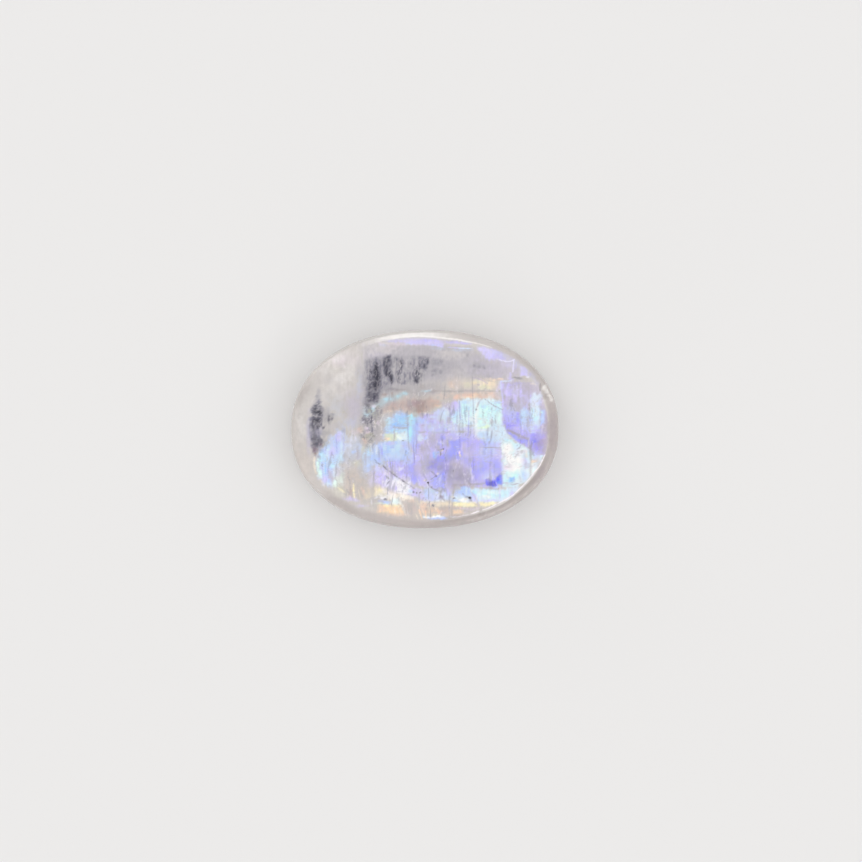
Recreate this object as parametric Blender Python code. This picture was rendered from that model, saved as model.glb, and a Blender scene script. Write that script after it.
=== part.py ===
"""Oval cabochon of rainbow moonstone: one solid stone, lying on its flat back.

Units are metres, with +Z up. The origin is the middle of the flat back. The stone's length
runs along X and its width along Y, and the dome faces +Z. Round the stone, from the back
up, come a small ground bevel, an upright wall, a sloping rim and a low dome. The rim and
the dome meet in a ridge that is crisp at the lower right and worn soft at the upper left.
"""

import math

import bmesh
import bpy
from mathutils import Vector

MM = 0.001

# The girdle, which is the widest line round the stone
LENGTH = 20.0 * MM
WIDTH = 14.86 * MM
SQUARENESS = 2.147  # 2 is a plain ellipse, and more fills out the shoulders

# Heights above the flat back
BACK_BEVEL_HEIGHT = 0.35 * MM
GIRDLE_HEIGHT = 1.40 * MM
RIM_START_HEIGHT = 2.10 * MM
RIDGE_HEIGHT = 2.95 * MM
CROWN_HEIGHT = 4.40 * MM

# How far each line lies inside the girdle, seen from above
BACK_EDGE_INSET = 0.50 * MM
BACK_BEVEL_INSET = 0.12 * MM
RIM_START_INSET = 0.06 * MM

# The ridge is an oval of its own, shifted so that the rim is widest at the left end
RIDGE_LENGTH = 17.8 * MM
RIDGE_WIDTH = 13.6 * MM
RIDGE_SQUARENESS = 2.05
RIDGE_CENTRE = Vector((0.34 * MM, -0.03 * MM, 0.0))

# Half the width over which the ridge is rounded off
CRISP_ROUNDING = 0.12 * MM
SOFT_ROUNDING = 0.60 * MM
SOFTEST_DIRECTION = math.radians(150.0)

DOME_FULLNESS = 2.2  # 2 is a parabola, and more flattens the crown

# Small breaks in the edge: place seen from above, radius and depth
CHIPS = {
    "right_scallop": (Vector((9.20 * MM, 2.61 * MM)), 0.60 * MM, 0.16 * MM),
    "ridge_nick": (Vector((4.08 * MM, -6.29 * MM)), 0.36 * MM, 0.14 * MM),
}

# Fineness of the mesh
SIDES = 128
RIDGE_STEPS = 5
DOME_STEPS = 12
WALL_STEPS = 2
RIM_STEPS = 2

# Finish
MILKY_GREY = (0.60, 0.58, 0.60, 1.0)
POLISHED = 0.08
FELDSPAR_IOR = 1.53
FACET_ANGLE = math.radians(20.0)


def oval(turn, length, width, squareness):
    """The point of a squarish oval at a parameter that runs once round in a full turn."""
    power = 2.0 / squareness
    across = math.copysign(abs(math.cos(turn)) ** power, math.cos(turn))
    up = math.copysign(abs(math.sin(turn)) ** power, math.sin(turn))
    return Vector((0.5 * length * across, 0.5 * width * up, 0.0))


def girdle_line(turn, inset, height):
    """A point on a copy of the girdle drawn in by an inset, at a height."""
    point = oval(turn, LENGTH - 2.0 * inset, WIDTH - 2.0 * inset, SQUARENESS)
    point.z = height
    return point


def ridge_line(turn):
    """A point of the unrounded ridge, where the rim would meet the dome in a sharp edge."""
    point = RIDGE_CENTRE + oval(turn, RIDGE_LENGTH, RIDGE_WIDTH, RIDGE_SQUARENESS)
    point.z = RIDGE_HEIGHT
    return point


def dome(turn, reach):
    """A point of the dome, whose reach runs from 0 at the crown to 1 at the ridge."""
    point = RIDGE_CENTRE.lerp(ridge_line(turn), reach)
    fall = reach ** DOME_FULLNESS
    point.z = CROWN_HEIGHT + (RIDGE_HEIGHT - CROWN_HEIGHT) * fall
    return point


def rounding(turn):
    """Half the width of the rounded ridge, widest in the softest direction."""
    softness = 0.5 + 0.5 * math.cos(turn - SOFTEST_DIRECTION)
    return CRISP_ROUNDING + (SOFT_ROUNDING - CRISP_ROUNDING) * softness ** 2


def section(turn):
    """Points of one section, from the edge of the flat back up to just short of the crown."""
    points = [
        girdle_line(turn, BACK_EDGE_INSET, 0.0),
        girdle_line(turn, BACK_BEVEL_INSET, BACK_BEVEL_HEIGHT),
    ]
    for step in range(1, WALL_STEPS + 1):
        share = step / WALL_STEPS
        belly = BACK_BEVEL_INSET * (1.0 - share) ** 2
        height = BACK_BEVEL_HEIGHT + (GIRDLE_HEIGHT - BACK_BEVEL_HEIGHT) * share
        points.append(girdle_line(turn, belly, height))

    rim_start = girdle_line(turn, RIM_START_INSET, RIM_START_HEIGHT)
    ridge = ridge_line(turn)
    half = rounding(turn)
    rim_end = ridge + (rim_start - ridge).normalized() * half
    dome_reach = 1.0 - half / (ridge - RIDGE_CENTRE).xy.length
    dome_start = dome(turn, dome_reach)

    for step in range(RIM_STEPS):
        points.append(rim_start.lerp(rim_end, step / RIM_STEPS))
    for step in range(RIDGE_STEPS):
        share = step / (RIDGE_STEPS - 1)
        below = rim_end.lerp(ridge, share)
        above = ridge.lerp(dome_start, share)
        points.append(below.lerp(above, share))
    for step in range(1, DOME_STEPS):
        points.append(dome(turn, dome_reach * (1.0 - step / DOME_STEPS)))
    return points


def chip_away(bm):
    """Sinks the surface a little inside each chip, deepest in the middle."""
    bm.normal_update()
    for centre, radius, depth in CHIPS.values():
        for vert in bm.verts:
            if vert.co.z < RIM_START_HEIGHT:
                continue
            share = (vert.co.xy - centre).length / radius
            if share < 1.0:
                vert.co -= vert.normal * depth * (1.0 - share ** 2)


def stone_mesh():
    """The closed surface of the stone, built from rings of points that follow the sections."""
    bm = bmesh.new()
    sections = [
        [bm.verts.new(point) for point in section(2.0 * math.pi * side / SIDES)]
        for side in range(SIDES)
    ]
    crown = bm.verts.new(dome(0.0, 0.0))
    for side, here in enumerate(sections):
        beside = sections[(side + 1) % SIDES]
        for ring in range(len(here) - 1):
            bm.faces.new((here[ring], beside[ring], beside[ring + 1], here[ring + 1]))
        bm.faces.new((here[-1], beside[-1], crown))
    bm.faces.new([here[0] for here in reversed(sections)])
    chip_away(bm)

    mesh = bpy.data.meshes.new("moonstone")
    bm.to_mesh(mesh)
    bm.free()
    mesh.shade_smooth()
    mesh.set_sharp_from_angle(angle=FACET_ANGLE)
    return mesh


def polished_moonstone():
    """Milky grey feldspar with a high polish."""
    material = bpy.data.materials.new("polished_moonstone")
    material.use_nodes = True
    surface = material.node_tree.nodes["Principled BSDF"].inputs
    surface["Base Color"].default_value = MILKY_GREY
    surface["Roughness"].default_value = POLISHED
    surface["Metallic"].default_value = 0.0
    surface["IOR"].default_value = FELDSPAR_IOR
    return material


def main():
    for leftover in list(bpy.data.objects):
        bpy.data.objects.remove(leftover)
    stone = bpy.data.objects.new("moonstone", stone_mesh())
    stone.data.materials.append(polished_moonstone())
    bpy.context.scene.collection.objects.link(stone)


main()
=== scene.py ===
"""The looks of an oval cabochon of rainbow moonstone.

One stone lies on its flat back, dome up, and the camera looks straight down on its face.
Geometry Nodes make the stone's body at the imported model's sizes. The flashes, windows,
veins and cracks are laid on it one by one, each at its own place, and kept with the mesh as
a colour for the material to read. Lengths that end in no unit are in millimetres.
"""

import math

import bpy
import numpy as np
from mathutils import Matrix, Vector


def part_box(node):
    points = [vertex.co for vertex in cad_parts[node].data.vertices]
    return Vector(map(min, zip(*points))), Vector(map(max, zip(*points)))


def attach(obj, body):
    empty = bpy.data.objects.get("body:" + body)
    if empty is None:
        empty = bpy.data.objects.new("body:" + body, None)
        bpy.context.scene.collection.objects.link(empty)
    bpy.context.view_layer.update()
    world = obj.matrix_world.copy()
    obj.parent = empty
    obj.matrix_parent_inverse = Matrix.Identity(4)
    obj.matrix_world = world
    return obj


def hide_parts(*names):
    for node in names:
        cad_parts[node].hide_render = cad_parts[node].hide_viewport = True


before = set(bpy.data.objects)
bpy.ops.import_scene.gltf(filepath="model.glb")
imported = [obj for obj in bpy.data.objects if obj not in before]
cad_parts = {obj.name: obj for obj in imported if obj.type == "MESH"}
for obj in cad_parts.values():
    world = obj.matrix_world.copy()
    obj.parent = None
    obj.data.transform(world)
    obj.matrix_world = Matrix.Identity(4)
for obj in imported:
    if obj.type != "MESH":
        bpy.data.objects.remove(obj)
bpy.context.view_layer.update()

MM = 0.001

# The stone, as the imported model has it
low_corner, high_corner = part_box("moonstone")
LENGTH, WIDTH, CROWN_HEIGHT = ((high_corner - low_corner) / MM).to_tuple(4)
SQUARENESS = 2.147  # 2 is a plain ellipse, and more fills out the shoulders
GIRDLE_HEIGHT = 1.40
RIDGE_HEIGHT = 2.95
DOME_FULLNESS = 2.2  # 2 is a parabola, and more flattens the crown

# The ridge, where the sloping rim meets the dome
RIDGE_LENGTH = 17.8
RIDGE_WIDTH = 13.6
RIDGE_SQUARENESS = 2.05
RIDGE_CENTRE = (0.34, -0.03, 0.0)
CRISP_ROUNDING = 0.12
SOFT_ROUNDING = 0.60
SOFTEST_DIRECTION = math.radians(150.0)

# The shoulder, where the rim turns down into the wall
SHOULDER_INSET = 0.06
SHOULDER_HEIGHT = 2.10
SHOULDER_ROUNDING = 0.22
SHOULDER_BLEND = 0.5  # how far down the wall the rim's shading fades out

# The wall below the shoulder and the ground bevel at its foot: share of the way down,
# how far it lies inside the girdle, and height above the back
WALL_LINE = [
    (0.00, 0.041, 1.88),
    (0.22, 0.000, 1.40),
    (0.45, 0.020, 0.95),
    (0.68, 0.085, 0.50),
    (0.78, 0.125, 0.33),
    (0.86, 0.205, 0.22),
    (1.00, 0.500, 0.00),
]
WALL_INSET_SCALE = 0.5
WALL_HEIGHT_SCALE = 2.0

# How the rings of the mesh are shared out, from the crown down to the back edge
DOME_RINGS = 116
RIDGE_RINGS = 10
RIM_RINGS = 13
SHOULDER_RINGS = 4
WALL_RINGS = 9

# The face is polished down to here, and only ground below it
POLISHED_ABOVE = 0.28

# The faint waves that hand polishing leaves, as depth and as waves in a metre
POLISH_WAVES = 0.004
POLISH_WAVES_SCALE = 420.0

# Small breaks in the edge: centre seen from above, radius and depth
CHIPS = {
    "Right scallop": ((9.20, 2.61, 0.0), 0.60, 0.16),
    "Ridge nick": ((4.08, -6.29, 0.0), 0.36, 0.14),
    "Right corner": ((8.72, 2.98, 0.0), 0.34, 0.05),
}
CHIP_GRAIN_SCALE = 5000.0

# Points closer than this are one point, and this near the grid's diagonal they lie on it
WELD_DISTANCE = 0.001
ON_DIAGONAL = 1e-6

# The edge between wall and back stays sharp, and everything rounder is shaded smooth
SHARP_ANGLE = math.radians(35.0)

# The camera looks straight down, and the stone is turned a little in its picture
CAMERA_TURN = math.radians(0.73)
CAMERA_ABOVE_GIRDLE = 178.9
CAMERA_AIM = (0.456, -0.146)
LENS = 100.0
SENSOR = 36.0
NEAREST_SEEN = 1.0

# The studio's brightness by height, from the horizon at 0 to straight above at 1
SKY_SCALE = 2.30
SKY_COLOUR = (1.0, 0.995, 0.99, 1.0)
SKY_LINE = [(0.0, 0.42), (0.25, 0.47), (0.5, 0.53), (0.72, 0.46), (1.0, 0.20)]

# Soft panels: the side they stand on and their height in degrees, half sizes and brightness
PANELS = {
    "Low strip at the right": (-38.0, 29.0, 0.40, 0.08, 3.2),
    "High panel at the left": (148.0, 44.0, 0.34, 0.18, 1.0),
    "Tall panel at the front": (-80.0, 14.0, 0.16, 0.22, 2.0),
    "Small panel at the right": (20.0, 16.0, 0.10, 0.16, 2.0),
    "Low panel at the back left": (132.0, 9.0, 0.22, 0.12, 3.4),
    "Low panel at the front left": (-140.0, 8.0, 0.16, 0.10, 3.0),
}

# The finishes, with their sizes in metres, as the shader groups take them. A relief is a
# strength and a depth, and a softness is a share, a reach for each colour and a scale.
FELDSPAR_IOR = 1.53
MARK_DIRECTIONS = (math.radians(25.0), math.radians(112.0))
FACE_FIBRES = {"Spacing": 0.00007, "Length": 0.0016, "Sharpness": 0.10}
FACE_CLOUD = {"Size": 0.00035, "Strength": 0.16}
FACE_MARKS = {"Spacing": 0.00004, "Length": 0.0012}
FACE_RELIEF = (0.15, 0.000002)
FACE_SOFTNESS = (1.0, (1.0, 0.97, 0.94), 0.0010)
WALL_CLOUD = {"Size": 0.0014, "Strength": 0.16}
BACK_FIBRES = {"Spacing": 0.00016, "Length": 0.0035, "Sharpness": 0.6}
BACK_CLOUD = {"Size": 0.003, "Strength": 0.9}
BACK_MARKS = {"Spacing": 0.00006, "Length": 0.0008}
BACK_RELIEF = (0.5, 0.000006)
BACK_SOFTNESS = (0.3, (1.0, 0.95, 1.0), 0.0006)
BACK_SHADOW = (0.42, 0.41, 0.46, 1.0)
BACK_LIGHT = (0.70, 0.67, 0.66, 1.0)

# The floor is plain pale paper
FLOOR_HALF = 1.6
FLOOR_COLOUR = (0.80, 0.794, 0.79, 1.0)
FLOOR_ROUGHNESS = 0.85


class Wiring:
    """Adds nodes to a tree, linking the sockets that are passed in and setting plain values."""

    def __init__(self, tree):
        self.tree = tree

    def node(self, kind, inputs=None, **settings):
        made = self.tree.nodes.new(kind)
        column, row = divmod(len(self.tree.nodes), 8)
        made.location = (220 * column, -180 * row)
        for name, value in settings.items():
            setattr(made, name, value)
        for name, value in (inputs or {}).items():
            self.feed(made.inputs[name], value)
        return made

    def feed(self, socket, value):
        if isinstance(value, bpy.types.NodeSocket):
            self.tree.links.new(value, socket)
        else:
            socket.default_value = value

    def math(self, operation, *values, clamp=False):
        made = self.node("ShaderNodeMath", dict(enumerate(values)), operation=operation, use_clamp=clamp)
        return made.outputs[0]

    def vector(self, operation, *values):
        made = self.node("ShaderNodeVectorMath", operation=operation)
        for socket, value in zip(made.inputs, values):
            self.feed(socket, value)
        return made.outputs["Value" if operation in ("LENGTH", "DOT_PRODUCT") else "Vector"]

    def stretch(self, vector, factor):
        made = self.node("ShaderNodeVectorMath", {0: vector, "Scale": factor}, operation="SCALE")
        return made.outputs["Vector"]

    def between(self, start, end, share):
        """The vector that lies a share of the way from start to end."""
        return self.vector("ADD", start, self.stretch(self.vector("SUBTRACT", end, start), share))

    def join(self, x, y, z=0.0):
        return self.node("ShaderNodeCombineXYZ", {"X": x, "Y": y, "Z": z}).outputs[0]

    def split(self, vector):
        return self.node("ShaderNodeSeparateXYZ", {0: vector}).outputs


def new_group(name, kind, inputs, outputs):
    """An empty node group with named sockets, and the nodes that stand for its ends."""
    group = bpy.data.node_groups.new(name, kind)
    for socket_name, socket_kind, value in inputs:
        socket = group.interface.new_socket(name=socket_name, in_out="INPUT", socket_type=socket_kind)
        if value is not None:
            socket.default_value = value
    for socket_name, socket_kind in outputs:
        group.interface.new_socket(name=socket_name, in_out="OUTPUT", socket_type=socket_kind)
    start = group.nodes.new("NodeGroupInput")
    end = group.nodes.new("NodeGroupOutput")
    start.location.x = -220
    end.location.x = 2400
    return group, start.outputs, end.inputs


FLOAT = "NodeSocketFloat"
WHOLE = "NodeSocketInt"
VECTOR = "NodeSocketVector"
GEOMETRY = "NodeSocketGeometry"
MATERIAL = "NodeSocketMaterial"


def squarish_oval():
    """Geometry group: a point of a squarish oval, at a turn that runs once round."""
    inputs = [("Turn", FLOAT, 0.0), ("Length", FLOAT, 0.02), ("Width", FLOAT, 0.015),
              ("Squareness", FLOAT, 2.0)]
    group, given, result = new_group("squarish_oval", "GeometryNodeTree", inputs, [("Point", VECTOR)])
    wire = Wiring(group)
    power = wire.math("DIVIDE", 2.0, given["Squareness"])

    def side(wave, size):
        swing = wire.math(wave, given["Turn"])
        bulge = wire.math("POWER", wire.math("ABSOLUTE", swing), power)
        signed = wire.math("MULTIPLY", wire.math("SIGN", swing), bulge)
        return wire.math("MULTIPLY", signed, wire.math("MULTIPLY", size, 0.5))

    wire.feed(result["Point"], wire.join(side("COSINE", given["Length"]), side("SINE", given["Width"])))
    return group


def scoop():
    """Geometry group: how deep a shell-shaped chip is at a place seen from above."""
    inputs = [("Place", VECTOR, None), ("Centre", VECTOR, None), ("Radius", FLOAT, 0.0005),
              ("Depth", FLOAT, 0.0001)]
    group, given, result = new_group("scoop", "GeometryNodeTree", inputs, [("Sink", FLOAT)])
    wire = Wiring(group)
    flat = wire.vector("MULTIPLY", given["Place"], (1.0, 1.0, 0.0))
    away = wire.vector("LENGTH", wire.vector("SUBTRACT", flat, given["Centre"]))
    ragged = wire.node("ShaderNodeTexNoise", {
        "Vector": given["Place"], "Scale": CHIP_GRAIN_SCALE, "Detail": 2.0})
    uneven = wire.math("MULTIPLY_ADD", ragged.outputs["Fac"], 0.7, 0.65)
    share = wire.math("DIVIDE", wire.math("MULTIPLY", away, uneven), given["Radius"])
    bowl = wire.math("SUBTRACT", 1.0, wire.math("MULTIPLY", share, share), clamp=True)
    wire.feed(result["Sink"], wire.math("MULTIPLY", bowl, given["Depth"]))
    return group


def use_group(wire, group, inputs):
    """Places a geometry group in a tree and returns its first output."""
    made = wire.node("GeometryNodeGroup", node_tree=group)
    for name, value in inputs.items():
        wire.feed(made.inputs[name], value)
    return made.outputs[0]


def curve_through(wire, share, points):
    """A smooth curve through a few points, whose values lie between 0 and 1."""
    made = wire.node("ShaderNodeFloatCurve", {"Value": share})
    line = made.mapping.curves[0]
    line.points[0].location = points[0]
    line.points[1].location = points[-1]
    for place in points[1:-1]:
        line.points.new(*place)
    made.mapping.update()
    return made.outputs[0]


def cabochon_tree():
    """The stone's body: a square grid wrapped into rings, from the crown down to the back edge."""
    lengths = {
        "Length": LENGTH, "Width": WIDTH, "Girdle height": GIRDLE_HEIGHT, "Crown height": CROWN_HEIGHT,
        "Ridge height": RIDGE_HEIGHT, "Ridge length": RIDGE_LENGTH, "Ridge width": RIDGE_WIDTH,
        "Crisp rounding": CRISP_ROUNDING, "Soft rounding": SOFT_ROUNDING, "Shoulder inset": SHOULDER_INSET,
        "Shoulder height": SHOULDER_HEIGHT, "Shoulder rounding": SHOULDER_ROUNDING,
        "Polish waves": POLISH_WAVES,
    }
    plain = {
        "Squareness": SQUARENESS, "Ridge squareness": RIDGE_SQUARENESS, "Dome fullness": DOME_FULLNESS,
        "Softest direction": SOFTEST_DIRECTION,
    }
    counts = {
        "Dome rings": DOME_RINGS, "Ridge rings": RIDGE_RINGS, "Rim rings": RIM_RINGS,
        "Shoulder rings": SHOULDER_RINGS, "Wall rings": WALL_RINGS,
    }
    centre = Vector(RIDGE_CENTRE) * MM
    inputs = [(name, FLOAT, value * MM) for name, value in lengths.items()]
    inputs += [(name, FLOAT, value) for name, value in plain.items()]
    inputs += [(name, WHOLE, value) for name, value in counts.items()]
    inputs += [("Ridge centre", VECTOR, centre), ("Face", MATERIAL, None), ("Back", MATERIAL, None)]
    tree, given, result = new_group("cabochon", "GeometryNodeTree", inputs, [("Geometry", GEOMETRY)])
    wire = Wiring(tree)
    oval, chip = squarish_oval(), scoop()

    rings = given["Dome rings"]
    starts = [0.0]
    for name in list(counts)[1:]:
        starts.append(rings)
        rings = wire.math("ADD", rings, given[name])
    side = wire.math("MULTIPLY_ADD", rings, 2.0, 1.0)
    grid = wire.node("GeometryNodeMeshGrid", {
        "Size X": 2.0, "Size Y": 2.0, "Vertices X": side, "Vertices Y": side})

    # Each square ring of the grid becomes one turn round the stone
    across, along, _ = wire.split(wire.node("GeometryNodeInputPosition").outputs[0])
    wide = wire.math("ABSOLUTE", across)
    tall = wire.math("ABSOLUTE", along)
    ring = wire.math("MULTIPLY", wire.math("MAXIMUM", wide, tall), rings)
    eighth = math.pi / 4.0
    beside = wire.math("MULTIPLY", wire.math("DIVIDE", along, across), eighth)
    beside = wire.math("MULTIPLY_ADD", wire.math("LESS_THAN", across, 0.0), math.pi, beside)
    above = wire.math("MULTIPLY_ADD", wire.math("DIVIDE", across, along), -eighth, math.pi / 2.0)
    above = wire.math("MULTIPLY_ADD", wire.math("LESS_THAN", along, 0.0), math.pi, above)
    upright = wire.math("GREATER_THAN", wire.math("SUBTRACT", tall, wide), ON_DIAGONAL)
    turn = wire.node("ShaderNodeMix", {"Factor": upright, "A": beside, "B": above}).outputs[0]

    def band(start, name):
        passed = wire.math("SUBTRACT", ring, start)
        return wire.math("DIVIDE", passed, given[name], clamp=True)

    on_dome, on_ridge, on_rim, on_shoulder, on_wall = map(band, starts, counts)

    def girdle_line(inset, height, at=turn):
        drawn_in = wire.math("MULTIPLY", inset, 2.0)
        point = use_group(wire, oval, {
            "Turn": at,
            "Length": wire.math("SUBTRACT", given["Length"], drawn_in),
            "Width": wire.math("SUBTRACT", given["Width"], drawn_in),
            "Squareness": given["Squareness"],
        })
        return wire.vector("ADD", point, wire.join(0.0, 0.0, height))

    def dome(reach):
        flat = wire.between(given["Ridge centre"], ridge_flat, reach)
        fall = wire.math("POWER", reach, given["Dome fullness"])
        drop = wire.math("SUBTRACT", given["Ridge height"], given["Crown height"])
        height = wire.math("MULTIPLY_ADD", drop, fall, given["Crown height"])
        return wire.vector("ADD", flat, wire.join(0.0, 0.0, height))

    def rounded(start, corner, end, share):
        """A point of the arc that rounds off a corner."""
        return wire.between(wire.between(start, corner, share), wire.between(corner, end, share), share)

    ridge_oval = use_group(wire, oval, {
        "Turn": turn, "Length": given["Ridge length"], "Width": given["Ridge width"],
        "Squareness": given["Ridge squareness"],
    })
    ridge_flat = wire.vector("ADD", ridge_oval, given["Ridge centre"])
    ridge = wire.vector("ADD", ridge_flat, wire.join(0.0, 0.0, given["Ridge height"]))
    shoulder = girdle_line(given["Shoulder inset"], given["Shoulder height"])

    lean = wire.math("COSINE", wire.math("SUBTRACT", turn, given["Softest direction"]))
    softness = wire.math("POWER", wire.math("MULTIPLY_ADD", lean, 0.5, 0.5), 2.0)
    spread = wire.math("SUBTRACT", given["Soft rounding"], given["Crisp rounding"])
    half = wire.math("MULTIPLY_ADD", spread, softness, given["Crisp rounding"])
    downhill = wire.vector("NORMALIZE", wire.vector("SUBTRACT", shoulder, ridge))
    rim_top = wire.vector("ADD", ridge, wire.stretch(downhill, half))
    rim_foot = wire.vector("SUBTRACT", shoulder, wire.stretch(downhill, given["Shoulder rounding"]))
    full_reach = wire.vector("LENGTH", ridge_oval)
    dome_reach = wire.math("SUBTRACT", 1.0, wire.math("DIVIDE", half, full_reach))
    dome_edge = dome(dome_reach)

    def down_the_wall(column, scale):
        line = curve_through(wire, on_wall, [(row[0], row[column] / scale) for row in WALL_LINE])
        return wire.math("MULTIPLY", line, scale * MM)

    wall = girdle_line(down_the_wall(1, WALL_INSET_SCALE), down_the_wall(2, WALL_HEIGHT_SCALE))
    wall_top = girdle_line(WALL_LINE[0][1] * MM, WALL_LINE[0][2] * MM)

    # Each band starts where the one before it ends, so only the way along it is added
    place = dome(wire.math("MULTIPLY", dome_reach, on_dome))
    steps = (
        (rounded(dome_edge, ridge, rim_top, on_ridge), dome_edge),
        (wire.between(rim_top, rim_foot, on_rim), rim_top),
        (rounded(rim_foot, shoulder, wall_top, on_shoulder), rim_foot),
        (wall, wall_top),
    )
    for here, start in steps:
        place = wire.vector("ADD", place, wire.vector("SUBTRACT", here, start))
    shaped = wire.node("GeometryNodeSetPosition", {"Geometry": grid.outputs["Mesh"], "Position": place})

    # The back is one flat face, whose corners meet the last ring
    corners = wire.math("MULTIPLY", rings, 8.0)
    back = wire.node("GeometryNodeMeshCircle", {"Vertices": corners}, fill_type="NGON")
    index = wire.node("GeometryNodeInputIndex").outputs[0]
    back_turn = wire.math("DIVIDE", wire.math("MULTIPLY", index, math.tau), corners)
    back_edge = girdle_line(WALL_LINE[-1][1] * MM, 0.0, at=back_turn)
    flat_back = wire.node("GeometryNodeSetPosition", {
        "Geometry": back.outputs["Mesh"], "Position": back_edge})
    flipped = wire.node("GeometryNodeFlipFaces", {"Mesh": flat_back.outputs[0]})
    both = wire.node("GeometryNodeJoinGeometry")
    tree.links.new(flipped.outputs[0], both.inputs[0])
    tree.links.new(shaped.outputs[0], both.inputs[0])
    closed = wire.node("GeometryNodeMergeByDistance", {
        "Geometry": both.outputs[0], "Distance": WELD_DISTANCE * MM})

    # Chips, and the faint waves that hand polishing leaves
    here = wire.node("GeometryNodeInputPosition").outputs[0]
    normal = wire.node("GeometryNodeInputNormal").outputs[0]
    waves = wire.node("ShaderNodeTexNoise", {"Vector": here, "Scale": POLISH_WAVES_SCALE, "Detail": 1.0})
    sink = wire.math("MULTIPLY", wire.math("SUBTRACT", waves.outputs["Fac"], 0.5), given["Polish waves"])
    for spot, radius, depth in CHIPS.values():
        one = use_group(wire, chip, {
            "Place": here, "Centre": Vector(spot) * MM, "Radius": radius * MM, "Depth": depth * MM})
        sink = wire.math("ADD", sink, one)
    height = wire.split(here)[2]
    above_wall = wire.math("GREATER_THAN", height, given["Girdle height"])
    inward = wire.stretch(normal, wire.math("MULTIPLY", sink, -1.0))
    worn = wire.node("GeometryNodeSetPosition", {
        "Geometry": closed.outputs[0], "Selection": above_wall, "Offset": inward})

    dressed = wire.node("GeometryNodeSetMaterial", {"Geometry": worn.outputs[0], "Material": given["Face"]})
    low = wire.math("LESS_THAN", height, POLISHED_ABOVE * MM)
    backed = wire.node("GeometryNodeSetMaterial", {
        "Geometry": dressed.outputs[0], "Selection": low, "Material": given["Back"]})
    realized = wire.node("GeometryNodeRealizeInstances", {"Geometry": backed.outputs[0]})
    wire.feed(result["Geometry"], realized.outputs[0])
    return tree


def stone_mesh(face_material, back_material):
    """Runs the body's tree once and keeps its result as a plain mesh."""
    tree = cabochon_tree()
    holder = bpy.data.objects.new("stone_holder", bpy.data.meshes.new("stone_holder"))
    bpy.context.scene.collection.objects.link(holder)
    modifier = holder.modifiers.new("body", "NODES")
    modifier.node_group = tree
    sockets = {item.name: item.identifier for item in tree.interface.items_tree if item.in_out == "INPUT"}
    modifier[sockets["Face"]] = face_material
    modifier[sockets["Back"]] = back_material
    evaluated = holder.evaluated_get(bpy.context.evaluated_depsgraph_get())
    mesh = bpy.data.meshes.new_from_object(evaluated)
    mesh.name = "polished_stone"
    holder.modifiers.remove(modifier)
    bpy.data.objects.remove(holder)
    return mesh


# Colours of the face, as seen in even light
WARM_GREY = (209, 204, 201)
COOL_GREY = (190, 186, 193)
PALE_GREY = (216, 211, 209)
LILAC_GREY = (200, 194, 208)
VEIL_GREY = (184, 178, 196)
EDGE_GREY = (201, 196, 193)
BEIGE = (203, 195, 190)
TAN = (178, 170, 170)
TAN_LILAC = (180, 174, 188)
MAUVE = (190, 180, 202)
HAZE = (170, 167, 174)
SLATE = (132, 130, 144)
CHARCOAL = (78, 76, 92)
INK = (46, 44, 58)
LILAC = (214, 208, 250)
VIOLET = (190, 184, 250)
PERIWINKLE = (178, 182, 253)
DEEP_BLUE = (130, 134, 252)
DUSK = (164, 162, 222)
SKY = (198, 216, 253)
AZURE = (160, 200, 253)
ICE = (224, 238, 254)
PALE_ICE = (226, 246, 254)
CYAN = (200, 238, 254)
PALE_CYAN = (190, 209, 216)
MINT = (226, 252, 244)
WHITE = (254, 253, 254)
PEARL = (238, 236, 248)
ROSE = (232, 218, 232)
CREAM = (240, 230, 214)
YELLOW = (252, 242, 206)
ORANGE = (250, 222, 192)
PEACH = (230, 206, 194)
CLAY = (192, 168, 162)
OLIVE = (176, 174, 152)
PLUM = (122, 98, 116)
RUST = (150, 118, 104)
SOOT = (34, 28, 30)
# Painted light and shade on the rim: a shaded tone for its bottom and right, a lit tone for its top and
# left
RIM_SHADED_SIDE_TONE = (184, 175, 173)
RIM_LIT_SIDE_TONE = (213, 209, 207)
# Painted shade for the rim, towards its outline and beside the ridge on the right
RIM_SHADE = (150, 145, 142)
# A pale tone for the rim's painted light and highlights, and for the pale chips at the right end
RIM_PALE_AND_PAINTED_LIGHT = (247, 244, 242)
PAINTED_RIDGE_HIGHLIGHT = (246, 240, 246)

# Where the rim's milk begins: direction, width, softness and how fully it covers
RIM_EDGE = [
    (0.0, 0.77, 0.2, 1.0),
    (15.0, 0.66, 0.2, 1.0),
    (30.0, 0.42, 0.3, 1.0),
    (45.0, 0.50, 0.3, 1.0),
    (60.0, 0.62, 0.3, 1.0),
    (90.0, 0.66, 0.3, 1.0),
    (110.0, 0.68, 0.5, 0.8),
    (130.0, 0.60, 0.9, 0.0),
    (200.0, 0.50, 0.9, 0.0),
    (215.0, 0.60, 0.6, 0.8),
    (240.0, 0.80, 0.4, 1.0),
    (270.0, 0.62, 0.4, 1.0),
    (285.0, 0.75, 0.3, 1.0),
    (300.0, 0.58, 0.15, 1.0),
    (315.0, 0.52, 0.1, 1.0),
    (330.0, 0.68, 0.1, 1.0),
    (345.0, 0.68, 0.15, 1.0),
]

# How far inside the outline the rim's painted light lip, painted shade and painted glint run
PAINTED_LIGHT_LIP_INSET, SHADE_INSET, GLINT_INSET = 0.38, 0.6, 0.2


def ease(low, high, value):
    share = np.clip((value - low) / (high - low), 0.0, 1.0)
    return share * share * (3.0 - 2.0 * share)


# How many random values the waves draw on, and a shift that keeps their cell numbers positive
KNOTS = (331, 317)
FAR = 400.0


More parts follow.
